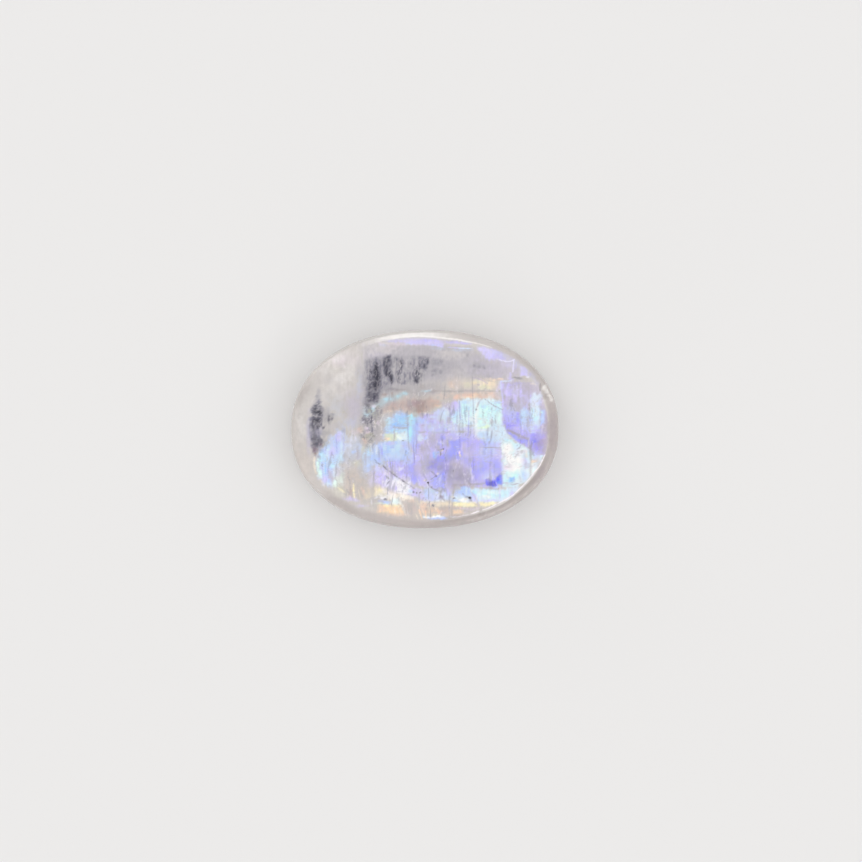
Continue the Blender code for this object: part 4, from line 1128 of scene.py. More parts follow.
def left_wedge(f):
    """Blue and lilac at the lower left, under the leaf-shaped window."""
    f.patch((206, 220, 252), 0.9, [(-8.1, -2.0), (-7.9, -1.6), (-7.3, -1.3), (-7.1, -0.7), (-6.7, -0.4),
            (-6.5, 0.0), (-6.05, 0.05), (-6.0, -1.2), (-6.4, -2.5), (-6.6, -3.2), (-7.0, -4.3),
            (-7.4, -4.2), (-7.9, -3.6), (-8.1, -3.1)], soft=0.2, ragged=0.09)
    f.glow((216, 211, 250), 0.9, (-6.95, -1.75, 0.4, 0.55), (-6.4, -0.6, 0.22, 0.4),
           (-7.5, -3.7, 0.25, 0.3))
    f.glow(CYAN, 0.6, (-7.65, -2.0, 0.25, 0.3), (-6.85, -2.75, 0.25, 0.2), (-7.9, -2.4, 0.14, 0.2))
    f.glow(SLATE, 0.35, (-7.75, -1.62, 0.2, 0.12), (-7.95, -2.1, 0.1, 0.2), (-6.05, -0.1, 0.1, 0.2))
    f.glow(MINT, 0.85, (-8.0, -2.8, 0.12, 0.4), (-7.85, -3.3, 0.2, 0.25), (-7.98, -2.3, 0.06, 0.2),
           (-6.72, -4.15, 0.16, 0.25))
    f.line(CREAM, 0.75, 0.16, [(-8.25, -2.1), (-8.28, -2.7), (-8.15, -3.3)], taper=0.3)
    f.line(AZURE, 0.6, 0.1, [(-7.45, -2.2), (-7.43, -2.9), (-7.42, -3.4)])
    f.line(DUSK, 0.45, 0.07, [(-7.7, -2.5), (-7.66, -3.0), (-7.6, -3.8)], [(-7.27, -2.9), (-7.2, -3.7)],
           [(-6.62, -0.1), (-6.6, -1.0), (-6.55, -1.9)], [(-6.02, 0.0), (-6.05, -1.0), (-6.15, -2.3)])
    f.spot(SLATE, 0.55, (-7.68, -2.72, 0.05, 0.12))
    f.glow(LILAC_GREY, 0.7, (-7.1, -3.45, 0.1, 0.3), (-6.95, -3.6, 0.14, 0.4), (-6.6, -3.0, 0.1, 0.3))
    f.glow(ICE, 0.6, (-6.75, -3.5, 0.1, 0.3), (-7.25, -4.1, 0.14, 0.12), (-6.25, -1.4, 0.12, 0.5),
           (-7.3, -1.9, 0.1, 0.3))
    f.glow(CREAM, 0.5, (-7.75, -3.9, 0.2, 0.08, -45), (-7.45, -4.25, 0.15, 0.07, -35))
    f.glow(SKY, 0.35, (-5.35, -1.7, 0.5, 0.9), (-5.0, -1.2, 0.3, 0.5), (-4.6, -2.2, 0.2, 0.5), mottled=0.3)
    f.glow(SKY, 0.6, (-5.3, -1.7, 0.14, 0.12))
    f.glow(PEARL, 0.5, (-5.55, -1.0, 0.08, 0.4), (-5.75, -2.55, 0.1, 0.1), (-5.2, -0.8, 0.08, 0.2),
           (-5.65, -1.8, 0.06, 0.3), (-5.32, -3.9, 0.07, 0.15), (-3.95, -5.45, 0.06, 0.2))
    f.glow(ROSE, 0.4, (-5.4, -0.3, 0.2, 0.15), (-5.0, -0.2, 0.1, 0.1), mottled=0.3)
    f.glow((212, 218, 232), 0.5, (-6.0, -1.6, 0.3, 1.2), (-6.3, -3.2, 0.25, 0.7), (-5.6, -1.4, 0.2, 0.8),
           mottled=0.3)
    f.glow((216, 228, 220), 0.6, (-6.3, -2.2, 0.16, 0.5), (-6.2, -3.5, 0.16, 0.3), (-6.4, -3.9, 0.25, 0.3))
    f.glow(COOL_GREY, 0.6, (-6.42, -3.2, 0.1, 0.3), (-5.95, -2.2, 0.1, 0.4), (-5.05, -1.9, 0.08, 0.4))
    f.glow((226, 225, 204), 0.5, (-6.3, -4.5, 0.4, 0.22, -35), mottled=0.3)
    f.line(YELLOW, 0.6, 0.13, [(-6.5, -4.4), (-6.2, -4.6), (-5.95, -4.78)])
    f.line(OLIVE, 0.4, 0.06, [(-6.5, -4.05), (-6.25, -4.35), (-6.0, -4.6)])
    f.glow((212, 212, 190), 0.45, (-5.0, -2.6, 0.35, 0.2), mottled=0.3)
    f.glow(MINT, 0.4, (-4.6, -2.1, 0.1, 0.25))
    f.glow(BEIGE, 0.6, (-5.3, -3.5, 0.7, 0.4))
    f.line(YELLOW, 0.8, 0.15, [(-5.3, -4.1), (-5.3, -4.7), (-5.25, -5.15)], taper=0.4)
    f.line(CREAM, 0.5, 0.1, [(-4.95, -4.5), (-4.85, -5.1)])
    f.glow(PEACH, 0.5, (-4.62, -4.65, 0.14, 0.25), (-5.5, -4.8, 0.1, 0.3))
    f.line(COOL_GREY, 0.35, 0.2, [(-3.88, -2.9), (-3.85, -4.2), (-3.85, -5.4)], taper=0.3)
    f.glow((214, 211, 232), 0.55, (-4.05, -3.4, 0.35, 0.7), (-3.95, -4.1, 0.2, 0.3))
    f.glow((236, 226, 206), 0.5, (-4.05, -4.7, 0.3, 0.3), (-4.3, -5.0, 0.2, 0.2), mottled=0.3)
    f.glow(LILAC, 0.5, (-5.25, -5.32, 0.3, 0.12, -20), (-4.75, -5.75, 0.4, 0.1), (-5.7, -5.2, 0.4, 0.14))
    f.patch(SKY, 0.5, [(-4.4, -2.0), (-3.9, -2.0), (-3.8, -3.2), (-4.3, -3.2)], soft=0.14, fibrous=0.4)


def wide_tints(f):
    """Broad soft tints that draw the flashes together."""
    f.glow(DUSK, 0.2, (1.3, -3.7, 1.0, 0.9), (3.9, -2.9, 0.5, 1.5), (1.3, -1.3, 1.1, 0.9),
           (0.4, -2.7, 0.8, 0.7), (4.4, -4.0, 0.6, 0.3))
    f.glow(SLATE, 0.14, (2.5, -3.9, 0.9, 0.6), (-0.4, 1.9, 0.7, 0.5), (7.4, -4.0, 0.3, 0.3),
           (6.5, -4.1, 0.4, 0.2))
    f.glow(SKY, 0.5, (-1.5, -2.0, 0.6, 0.5), (-3.5, -2.0, 0.5, 0.7), (0.5, -4.95, 0.5, 0.35),
           (4.7, -1.3, 0.6, 0.6), (6.4, 1.0, 0.4, 0.4), (-1.5, -1.8, 0.5, 0.4), (4.5, -2.0, 0.5, 0.5),
           (5.3, -4.3, 0.4, 0.1))
    f.glow(SKY, 0.3, (-4.5, -2.0, 0.4, 0.7), (-6.5, -2.2, 0.4, 0.5), (-4.5, -3.0, 0.4, 0.5))
    f.glow(VIOLET, 0.45, (3.6, -1.2, 0.6, 0.5), (4.6, -2.3, 0.7, 0.5), (5.4, -3.0, 0.3, 0.6),
           (7.6, -0.1, 0.5, 0.4), (8.5, -0.2, 0.3, 0.4), (6.5, 1.0, 0.5, 0.4))
    f.glow(ICE, 0.4, (8.5, 2.0, 0.2, 0.4), (5.5, -0.6, 0.4, 0.7), (8.4, 1.0, 0.35, 0.4),
           (1.5, 1.1, 0.3, 0.3))
    f.glow(WHITE, 0.45, (-1.6, -4.1, 0.5, 0.35), (-2.5, -5.0, 0.6, 0.2), (0.9, -4.95, 0.4, 0.2))
    f.glow(WHITE, 0.25, (-1.4, -5.0, 0.4, 0.25), (-6.6, -3.0, 0.3, 0.5), (-6.5, -4.0, 0.4, 0.3),
           (-3.4, -4.8, 0.4, 0.3))
    f.glow(ORANGE, 0.4, (0.6, -6.05, 0.4, 0.25))
    f.glow(SLATE, 0.3, (-2.9, 3.0, 0.4, 0.3), (-2.75, 4.9, 0.5, 0.4), (-7.5, -1.0, 0.4, 0.3),
           (-2.2, 2.95, 0.5, 0.1))
    f.glow(COOL_GREY, 0.4, (3.0, 3.1, 0.9, 0.4), (-6.6, 0.25, 0.5, 0.3), (-0.6, 1.0, 0.3, 0.12),
           (1.8, 6.6, 0.5, 0.12))
    f.glow(EDGE_GREY, 0.4, (-6.4, 2.0, 0.5, 0.4), (-4.6, 0.1, 0.4, 0.5))
    f.glow((240, 242, 254), 0.7, (-2.5, -4.0, 0.5, 0.4), (-1.5, -4.2, 0.4, 0.25), (-1.8, -3.0, 0.3, 0.14))
    f.glow(LILAC, 0.35, (5.3, 5.8, 0.4, 0.25), (5.6, 3.2, 0.2, 0.4), (7.6, 2.3, 0.4, 0.5),
           (8.6, 1.9, 0.3, 0.3), (8.4, -2.1, 0.3, 0.2), (-2.5, -3.0, 0.6, 0.5), (6.5, 2.6, 0.6, 0.9),
           (-3.4, -3.1, 0.4, 0.4), (6.2, 4.9, 0.4, 0.3))
    f.glow((214, 234, 240), 0.45, (2.5, 0.1, 0.5, 0.4), (0.5, 0.1, 0.5, 0.35), (1.5, 0.1, 0.4, 0.3))
    f.glow(PALE_GREY, 0.4, (2.5, 4.0, 0.6, 0.5))
    f.glow((200, 213, 254), 0.5, (7.5, 0.6, 0.35, 0.6), (7.35, -3.5, 0.35, 0.3))
    f.glow((212, 220, 244), 0.35, (2.5, -0.4, 0.5, 0.3), (3.5, -0.4, 0.4, 0.4), (6.4, 1.4, 0.5, 0.3),
           (5.5, 2.5, 0.3, 0.3))
    f.glow((210, 200, 206), 0.55, (8.45, -2.5, 0.25, 0.35))
    f.glow((212, 205, 240), 0.4, (7.5, -2.5, 0.3, 0.5), (6.1, 0.9, 0.25, 0.4))
    f.glow(CHARCOAL, 0.18, (-3.6, 3.9, 0.4, 0.6))
    f.glow(PERIWINKLE, 0.35, (5.4, -3.0, 0.3, 0.4), (5.3, -2.6, 0.35, 0.5), (4.5, -3.3, 0.4, 0.2))
    f.glow((178, 168, 178), 0.5, (9.3, 0.1, 0.25, 0.7), (8.75, -1.1, 0.25, 0.3))
    f.glow(LILAC_GREY, 0.6, (-0.45, -3.0, 0.35, 0.5), (2.4, -4.0, 0.5, 0.2))
    f.glow((168, 162, 200), 0.65, (1.5, -2.95, 0.4, 0.35))
    f.glow((190, 240, 250), 0.3, (-0.85, -0.1, 0.3, 1.1), (-0.9, 0.8, 0.3, 0.3))
    f.glow((212, 234, 240), 0.35, (1.2, 1.25, 0.7, 0.35), (1.5, 0.75, 0.8, 0.25))
    f.glow((206, 212, 254), 0.4, (-2.6, -2.3, 0.6, 0.5), (-1.0, -2.2, 0.4, 0.35), (7.5, 0.9, 0.5, 0.9),
           (8.3, -1.75, 0.3, 0.16), (-1.1, -1.3, 0.4, 0.3))
    f.glow((236, 230, 244), 0.5, (-2.6, -4.3, 0.7, 0.25), (-2.6, -4.72, 0.4, 0.2), (-1.7, -3.75, 0.4, 0.15))
    f.glow(BEIGE, 0.4, (-3.85, -4.5, 0.35, 0.45))
    f.glow((206, 234, 254), 0.45, (-7.2, -1.3, 0.25, 0.3), (-7.2, -2.4, 0.4, 0.4), (-6.5, -2.3, 0.4, 0.3))
    f.glow((206, 212, 236), 0.35, (7.0, -1.75, 0.4, 0.25))
    f.glow((248, 244, 254), 0.5, (-2.5, -3.95, 0.45, 0.3), (-1.6, -4.1, 0.4, 0.2))
    f.glow((204, 206, 254), 0.4, (8.5, -1.95, 0.3, 0.25), (5.5, -3.95, 0.25, 0.3), (0.5, -5.0, 0.5, 0.3),
           (6.5, 0.9, 0.4, 0.3), (5.8, 5.7, 0.5, 0.2))
    f.glow((184, 170, 166), 0.35, (1.5, -6.0, 0.35, 0.25))
    f.glow((222, 222, 212), 0.45, (-6.5, -4.9, 0.5, 0.3, -30))
    f.glow((188, 198, 250), 0.4, (2.7, -4.75, 0.7, 0.2), (1.25, -4.65, 0.25, 0.2))
    f.glow((212, 240, 254), 0.45, (7.4, 1.0, 0.3, 0.4), (4.6, -4.75, 0.6, 0.2), (-4.2, -1.6, 0.25, 0.4),
           (5.3, 0.2, 0.3, 0.3))


def needles(f):
    """Fine straight seams that run across the stone, all in one direction."""
    f.line(SLATE, 0.3, 0.08, [(3.55, 3.9), (3.58, 2.5)], taper=0.2, mottled=0.3)
    f.line(SLATE, 0.5, 0.08, [(3.58, 2.5), (3.62, 1.4), (3.66, 0.2)], taper=0.3, mottled=0.3)
    f.line(SLATE, 0.4, 0.08, [(3.66, 0.2), (3.68, -0.7)], [(3.62, -2.1), (3.63, -3.1)], [(2.6, 2.1),
           (2.62, 0.3), (2.6, -1.6)], [(-1.3, 1.3), (-1.29, 0.6), (-1.25, -0.3), (-1.17, -1.5)],
           [(-0.84, -1.0), (-0.82, -1.6), (-0.78, -2.4)], [(7.83, 1.9), (7.85, 0.4)], taper=0.3,
           mottled=0.4)
    f.line(SLATE, 0.5, 0.07, [(5.06, 0.9), (5.0, 0.2)], [(5.25, 1.0), (5.28, 0.3)], mottled=0.3)
    f.line(TAN_LILAC, 0.6, 0.1, [(-2.28, -0.15), (-2.27, -0.85)], [(-0.82, -1.3), (-0.78, -2.5)],
           mottled=0.3)
    f.line(DUSK, 0.5, 0.08, [(2.6, 2.1), (2.63, 1.2), (2.68, 0.7)], [(2.62, -0.4), (2.62, -1.5)],
           [(3.3, 1.6), (3.28, 0.4), (3.24, -1.0), (3.2, -1.8)], [(-0.84, -1.1), (-0.82, -1.8),
           (-0.78, -2.6)], [(-3.2, -1.4), (-3.18, -2.1)])
    f.line(SLATE, 0.3, 0.08, [(2.42, 1.5), (2.4, 0.2)], [(3.35, -1.8), (3.4, -2.5)], [(4.72, 0.1),
           (4.7, -0.5)], [(5.0, 0.1), (4.98, -0.6), (4.86, -1.15)], [(-0.68, 0.7), (-0.55, 0.25)],
           [(-3.42, -1.4), (-3.42, -2.3)], [(0.18, 1.2), (0.2, 0.8)], [(1.45, 1.5), (1.25, 1.0),
           (1.12, 0.4)], [(1.85, 1.2), (1.9, 0.4)], [(-3.8, -3.0), (-3.8, -3.9)], [(1.62, -4.4),
           (1.64, -5.0)], [(5.03, -1.4), (5.0, -2.3)])
    f.line(TAN, 0.4, 0.14, [(7.72, -0.75), (7.86, -1.5), (7.93, -2.4), (7.88, -3.5)], [(2.2, -4.3),
           (2.1, -5.0), (2.06, -5.8), (2.0, -6.5)], [(7.66, 0.75), (7.68, 0.2)], taper=0.2)
    f.line(COOL_GREY, 0.5, 0.1, [(-4.4, -1.6), (-4.4, -2.6)], [(-5.05, -1.6), (-5.05, -2.4)], [(1.8, -5.3),
           (1.85, -6.2)])
    f.line(SLATE, 0.45, 0.06, [(0.27, -4.4), (0.3, -5.2), (0.38, -5.9), (0.43, -6.75)], taper=0.1)
    f.line(WHITE, 0.7, 0.06, [(3.78, 1.2), (3.8, 0.2)])
    f.line(VIOLET, 0.45, 0.09, [(5.66, -1.4), (5.67, -3.3)], [(4.95, -1.5), (4.95, -2.3)], [(3.45, -0.4),
           (3.4, -1.2)])


def cracks(f):
    """Healed cracks, with the pits and dark knots along them."""
    f.line(SLATE, 0.65, 0.09, [(-3.72, -2.3), (-3.6, -2.5), (-3.35, -2.62)], [(0.48, -3.18), (0.68, -3.32),
           (0.88, -3.5)], [(-3.15, -2.7), (-2.95, -2.93), (-2.45, -3.32), (-2.1, -3.55), (-1.6, -3.88),
           (-1.1, -4.2), (-0.72, -4.5)], [(2.82, -4.82), (3.0, -4.98), (3.3, -5.1)], taper=0.2, mottled=0.6,
           sink=0.012)
    f.line(CHARCOAL, 0.35, 0.12, [(-3.1, -2.78), (-2.9, -2.97)], [(-2.4, -3.35), (-2.08, -3.58)],
           [(-1.7, -3.82), (-1.5, -3.95)], mottled=0.5)
    f.line(SLATE, 0.5, 0.07, [(0.85, -3.45), (0.6, -3.68), (0.42, -3.8)], [(0.28, -4.2), (0.6, -4.44),
           (1.15, -4.68)], [(1.3, -5.2), (1.5, -5.42)], [(3.44, -5.2), (3.52, -5.42)], [(0.85, -1.55),
           (1.15, -1.55), (1.4, -1.5)], [(1.4, -1.52), (1.18, -1.68), (1.25, -1.9)], [(4.5, 2.25),
           (4.8, 1.98), (5.3, 1.65), (5.85, 1.4)], [(-2.35, -4.9), (-2.5, -5.7)], [(-2.76, -4.3),
           (-2.8, -4.85)], [(0.55, -5.6), (0.72, -5.8)])
    f.line(SLATE, 0.6, 0.1, [(-2.87, -3.55), (-2.66, -3.75)], [(-2.64, -3.85), (-2.86, -4.15)])
    f.spot(SLATE, 0.75, (-0.86, -4.72, 0.08, 0.09), (-0.62, -4.84, 0.08, 0.07), (-0.33, -4.78, 0.08, 0.07),
           (-2.93, -5.22, 0.09, 0.07), (0.86, -3.45, 0.06, 0.07), (0.5, -4.34, 0.05, 0.05),
           (1.38, -1.5, 0.07, 0.07), (1.2, -1.86, 0.06, 0.09), (-1.62, -0.87, 0.07, 0.06),
           (3.83, 1.53, 0.05, 0.07), (2.12, -3.15, 0.05, 0.05), (2.2, -5.15, 0.1, 0.05), sink=0.01)
    f.spot(CHARCOAL, 0.75, (0.63, -5.72, 0.09, 0.05, -45), sink=0.02)
    f.spot(SOOT, 0.95, (3.38, -5.13, 0.085, 0.055, -20), (0.21, -4.04, 0.04, 0.1, 20), sink=0.05)
    f.glow((150, 136, 148), 0.7, (1.22, -5.08, 0.13, 0.15), (1.12, -5.0, 0.07, 0.1), mottled=0.3)
    f.glow(PLUM, 0.35, (3.4, -5.3, 0.06, 0.1), (3.2, -5.08, 0.14, 0.04))
    f.glow(SLATE, 0.4, (4.97, -0.45, 0.08, 0.35), (4.85, -1.05, 0.07, 0.12), (4.66, -0.4, 0.05, 0.3),
           mottled=0.4)
    f.glow(OLIVE, 0.5, (0.08, -3.85, 0.08, 0.1), (1.7, -1.0, 0.06, 0.3), (2.75, -0.2, 0.3, 0.06),
           (1.25, -1.85, 0.08, 0.08))
    f.glow(CREAM, 0.7, (-0.04, -3.84, 0.07, 0.08), (1.3, -1.62, 0.08, 0.05), (3.15, -5.2, 0.1, 0.05),
           (1.0, -3.28, 0.1, 0.06), (2.08, -5.03, 0.1, 0.04))
    f.line(COOL_GREY, 0.6, 0.14, [(-0.42, -4.85), (-0.42, -5.5)], [(4.15, 2.15), (3.98, 1.85),
           (3.88, 1.65)])
    f.line(LILAC_GREY, 0.6, 0.1, [(3.4, -4.6), (3.75, -5.1), (3.95, -5.5), (4.05, -6.0)], [(5.8, -4.02),
           (6.3, -4.05)])
    f.line(TAN_LILAC, 0.75, 0.12, [(3.2, -4.0), (3.5, -4.12), (4.1, -4.12), (4.5, -4.05)])
    f.line(TAN_LILAC, 0.7, 0.07, [(4.3, -4.38), (4.9, -4.44), (5.35, -4.5), (5.7, -4.38)], [(6.35, -4.1),
           (6.65, -4.16), (7.1, -4.05)], [(4.1, -1.36), (4.9, -1.38), (5.7, -1.37)])
    f.line(TAN, 0.4, 0.1, [(3.5, -5.4), (3.95, -5.78)], [(3.1, 0.25), (3.7, 0.25)], mottled=0.3)
    f.line((252, 232, 240), 0.95, 0.12, [(2.56, -1.62), (2.6, -1.88)], ragged=0.01)
    f.line(CREAM, 0.9, 0.12, [(2.6, -1.85), (2.66, -2.08)], ragged=0.01)
    f.glow(TAN, 0.4, (3.45, 0.22, 0.2, 0.12), (2.6, -0.12, 0.14, 0.06), mottled=0.3)


def fine_grain(f):
    """Faint fibres, cells, needles, veins and flecks over the face."""
    flashing = f.inside_area([(-8.3, -1.6), (-7.2, -0.6), (-6.2, -0.1), (-5.4, -0.3), (-4.6, 0.4),
                              (-4.2, 1.4), (-3.0, 2.4), (-1.2, 2.9), (1.5, 3.2), (2.4, 3.8), (5.6, 3.8),
                              (7.2, 3.6), (8.8, 3.0), (9.2, 0.4), (8.9, -2.1), (7.3, -4.2), (4.6, -6.0),
                              (1.8, -6.7), (-3.4, -6.2), (-6.0, -4.9), (-7.6, -4.0)], soft=0.3, ragged=0.15)
    bright = f.colour.mean(axis=1, keepdims=True)
    hue = f.colour - bright
    f.colour = bright + hue * (1.0 + flashing * (0.15 + 0.38 * f.cells))[:, None]
    f.colour *= (1.0 + 0.012 * f.fibre + 0.014 * f.mottle + 0.02 * flashing * f.cells)[:, None]
    f.lay(SLATE, flashing * f.needles, 0.33)
    f.lay(WHITE, flashing * f.glints, 0.34)
    f.lay(COOL_GREY, flashing * f.veins, 0.42)
    f.lay(WHITE, flashing * f.flecks, 0.36)
    f.lay(PALE_GREY, (1.0 - flashing) * f.web, 0.16)
    f.lay(COOL_GREY, (1.0 - flashing) * f.needles, 0.1)


def paint_rim(f, above):
    """The milky rim, which the flashes reach on some sides only, and the painted light and shade on it."""
    u = f.x * np.cos(CAMERA_TURN) + f.y * np.sin(CAMERA_TURN)
    v = f.y * np.cos(CAMERA_TURN) - f.x * np.sin(CAMERA_TURN)
    a, b, n = 0.5 * LENGTH, 0.5 * WIDTH, SQUARENESS
    reach = np.maximum((np.abs(u / a) ** n + np.abs(v / b) ** n) ** (1.0 / n), 0.01)
    slope = reach ** (1.0 - n) * np.hypot(np.abs(u) ** (n - 1) / a ** n, np.abs(v) ** (n - 1) / b ** n)
    inset = (1.0 - reach) / np.maximum(slope, 0.01)
    angle = np.degrees(np.arctan2(v, u)) % 360.0

    sides, *columns = zip(*RIM_EDGE)
    width, soft, cover = [np.interp(angle, sides, column, period=360.0) for column in columns]
    inset = inset + 0.03 * f.wave_x * soft
    rim = (1.0 - ease(width * (1.0 - soft), width * (1.0 + soft), inset)) * cover
    # Painted light and shade: the rim is painted lighter towards the top and left and darker towards the
    # bottom and right
    high = 0.5 + 0.46 * np.sin(np.radians(angle)) - 0.35 * np.cos(np.radians(angle))
    tone = np.array(RIM_SHADED_SIDE_TONE, float) + high[:, None] * (np.array(RIM_LIT_SIDE_TONE, float) - np.array(RIM_SHADED_SIDE_TONE, float))
    f.colour += (rim * (1.0 - 0.04 * f.mottle))[:, None] * (tone - f.colour)
    f.milk = np.maximum(rim, 1.0 - ease(0.2, 1.0, inset))

    # What is laid from here on stays off the wall
    wall = f.colour.copy()
    # Painted light: a light band and a thin painted highlight along the top of the rim
    lit_side = np.interp(angle, [70.0, 92.0, 108.0, 128.0], [0.0, 1.0, 1.0, 0.0])
    lip = (1.0 - ease(0.12, 0.2, np.abs(inset - PAINTED_LIGHT_LIP_INSET))) * lit_side
    f.lay(RIM_PALE_AND_PAINTED_LIGHT, lip, 0.85, broken=0.2)
    f.line(RIM_PALE_AND_PAINTED_LIGHT, 0.9, 0.12, [(-3.4, 6.74), (-1.5, 6.93), (0.0, 6.94), (0.8, 6.87), (2.0, 6.74),
           (3.0, 6.59), (4.0, 6.37), (5.0, 6.1)], soft=0.1, broken=0.2, taper=0.8)
    # Painted shade: the rim darkens towards the outline
    f.lay(RIM_SHADE, 1.0 - ease(0.05, 0.32, inset), 0.3, broken=0.2)
    # Painted shade on the right side, beside the ridge
    right_side = np.interp(angle, [275.0, 295.0, 340.0, 355.0], [0.0, 1.0, 1.0, 0.0])
    f.lay(RIM_SHADE, (1.0 - ease(0.1, 0.3, np.abs(inset - SHADE_INSET))) * right_side * rim, 0.3,
          broken=0.2)
    # Painted glint: a faint light band near the outline on the right side
    f.lay(RIM_PALE_AND_PAINTED_LIGHT, (1.0 - ease(0.06, 0.16, np.abs(inset - GLINT_INSET))) * right_side, 0.25, mottled=0.6)
    f.glow((168, 157, 163), 0.5, (9.55, 0.0, 0.3, 1.6), (8.6, -3.3, 0.8, 0.22, 55))
    f.glow((168, 160, 158), 0.4, (-6.2, -5.6, 1.2, 0.3, -32), (2.0, -6.98, 1.6, 0.22),
           (-9.1, 2.6, 0.2, 0.8, -25))
    f.line((202, 200, 224), 0.45, 0.5, [(5.0, 5.85), (6.6, 5.05), (7.8, 4.15), (8.5, 3.4)], soft=0.3)
    f.line((236, 234, 253), 0.85, 0.08, [(5.4, 5.24), (5.75, 5.12), (6.1, 5.04), (6.45, 5.07), (6.68, 5.2)],
           [(6.64, 5.1), (6.61, 4.7), (6.56, 4.25)], ragged=0.0, taper=0.3)
    # Painted highlight: a thin bright line along the crisp ridge at the lower right and bottom
    f.line(PAINTED_RIDGE_HIGHLIGHT, 1.0, 0.08, [(8.98, -1.92), (8.6, -2.72), (8.2, -3.2), (7.8, -3.72), (7.2, -4.36),
           (6.6, -4.93), (6.0, -5.3), (5.4, -5.57), (4.9, -5.84), (4.3, -6.06)], [(4.05, -6.12),
           (3.75, -6.24), (3.45, -6.34)], soft=0.05, ragged=0.0, taper=0.3)
    f.line(PAINTED_RIDGE_HIGHLIGHT, 0.6, 0.07, [(3.35, -6.42), (2.6, -6.52), (1.9, -6.62)])
    # Painted highlight: white and pale blue where the ridge meets the lower edge
    f.glow((192, 208, 254), 0.85, (0.85, -6.68, 0.55, 0.09), (1.4, -6.6, 0.14, 0.06))
    f.glow(WHITE, 0.75, (0.95, -6.55, 0.35, 0.06), (0.2, -6.6, 0.2, 0.05))
    f.line((148, 142, 144), 0.65, 0.13, [(8.64, 3.42), (8.58, 2.85)], mottled=0.3)
    f.glow(RIM_PALE_AND_PAINTED_LIGHT, 0.9, (8.9, 3.05, 0.2, 0.16), (9.15, 2.8, 0.16, 0.14), (9.35, 2.5, 0.12, 0.16),
           (9.45, 2.2, 0.08, 0.12), mottled=0.3)
    f.colour = wall + above[:, None] * (f.colour - wall)


def paint_face(x, y):
    f = Face(x, y)
    for region in (body, leaf_window, windows, upper_edge, golden_bands, veined_streak, middle, cyan_left,
                   cyan_field, milky_right, violet_domain, pale_wedge, left_wedge, lower_gold, wide_tints,
                   deep_spots, needles, cracks, fine_grain):
        region(f)
    return f


def plan_places(points):
    """Where points of the stone show in the straight-down view, in millimetres from its middle."""
    cos, sin = math.cos(CAMERA_TURN), math.sin(CAMERA_TURN)
    nearness = 1.0 + (points[:, 2] - GIRDLE_HEIGHT) / CAMERA_ABOVE_GIRDLE
    x = (points[:, 0] * cos - points[:, 1] * sin) * nearness
    y = (points[:, 0] * sin + points[:, 1] * cos) * nearness
    return x, y


def as_light(colour):
    """Shares of light for colours given as screen values, by the usual screen curve."""
    screen = np.clip(colour, 0.0, 255.0) / 255.0
    return np.where(screen <= 0.04045, screen / 12.92, ((screen + 0.055) / 1.055) ** 2.4)


def paint_stone(mesh):
    """Lays the face's colours on the mesh, and sinks its cracks and pits a little."""
    count = len(mesh.vertices)
    places = np.empty(count * 3)
    mesh.vertices.foreach_get("co", places)
    places = places.reshape(count, 3)
    normals = np.empty(count * 3)
    mesh.vertices.foreach_get("normal", normals)
    normals = normals.reshape(count, 3)
    points = places / MM
    x, y = plan_places(points)
    above = ease(SHOULDER_HEIGHT - SHOULDER_BLEND, SHOULDER_HEIGHT, points[:, 2])
    face = paint_face(x, y)
    paint_rim(face, above)

    colours = np.ones((count, 4))
    colours[:, :3] = as_light(face.colour)
    mesh.attributes.new("stone_colour", "FLOAT_COLOR", "POINT")
    mesh.attributes["stone_colour"].data.foreach_set("color", colours.ravel())
    mesh.attributes.new("milkiness", "FLOAT", "POINT")
    mesh.attributes["milkiness"].data.foreach_set("value", face.milk)

    places -= normals * (face.sink * above * MM)[:, None]
    mesh.vertices.foreach_set("co", places.ravel())
    mesh.update()


def needle_fibres():
    """Shader group: thin straight fibres that all run one way, some dark and some pale."""
    inputs = [("Place", VECTOR, None), ("Spacing", FLOAT, 0.0001), ("Length", FLOAT, 0.002),
              ("Sharpness", FLOAT, 4.0)]
    group, given, result = new_group("needle_fibres", "ShaderNodeTree", inputs, [("Mask", FLOAT)])
    wire = Wiring(group)
    thin = wire.math("DIVIDE", 1.0, given["Spacing"])
    long = wire.math("DIVIDE", 1.0, given["Length"])
    drawn = wire.vector("MULTIPLY", given["Place"], wire.join(thin, long, long))
    noise = wire.node("ShaderNodeTexNoise", {
        "Vector": drawn, "Scale": 1.0, "Detail": 3.0, "Roughness": 0.6})
    away = wire.math("SUBTRACT", noise.outputs["Fac"], 0.5)
    wire.feed(result["Mask"], wire.math("MULTIPLY", away, given["Sharpness"]))
    return group


def milky_cloud():
    """Shader group: soft cloudy patches, as in feldspar that has begun to turn milky."""
    inputs = [("Place", VECTOR, None), ("Size", FLOAT, 0.001), ("Strength", FLOAT, 1.0)]
    group, given, result = new_group("milky_cloud", "ShaderNodeTree", inputs, [("Mask", FLOAT)])
    wire = Wiring(group)
    scale = wire.math("DIVIDE", 1.0, given["Size"])
    noise = wire.node("ShaderNodeTexNoise", {
        "Vector": given["Place"], "Scale": scale, "Detail": 5.0, "Roughness": 0.62, "Distortion": 0.4})
    away = wire.math("SUBTRACT", noise.outputs["Fac"], 0.5)
    wire.feed(result["Mask"], wire.math("MULTIPLY", away, given["Strength"]))
    return group


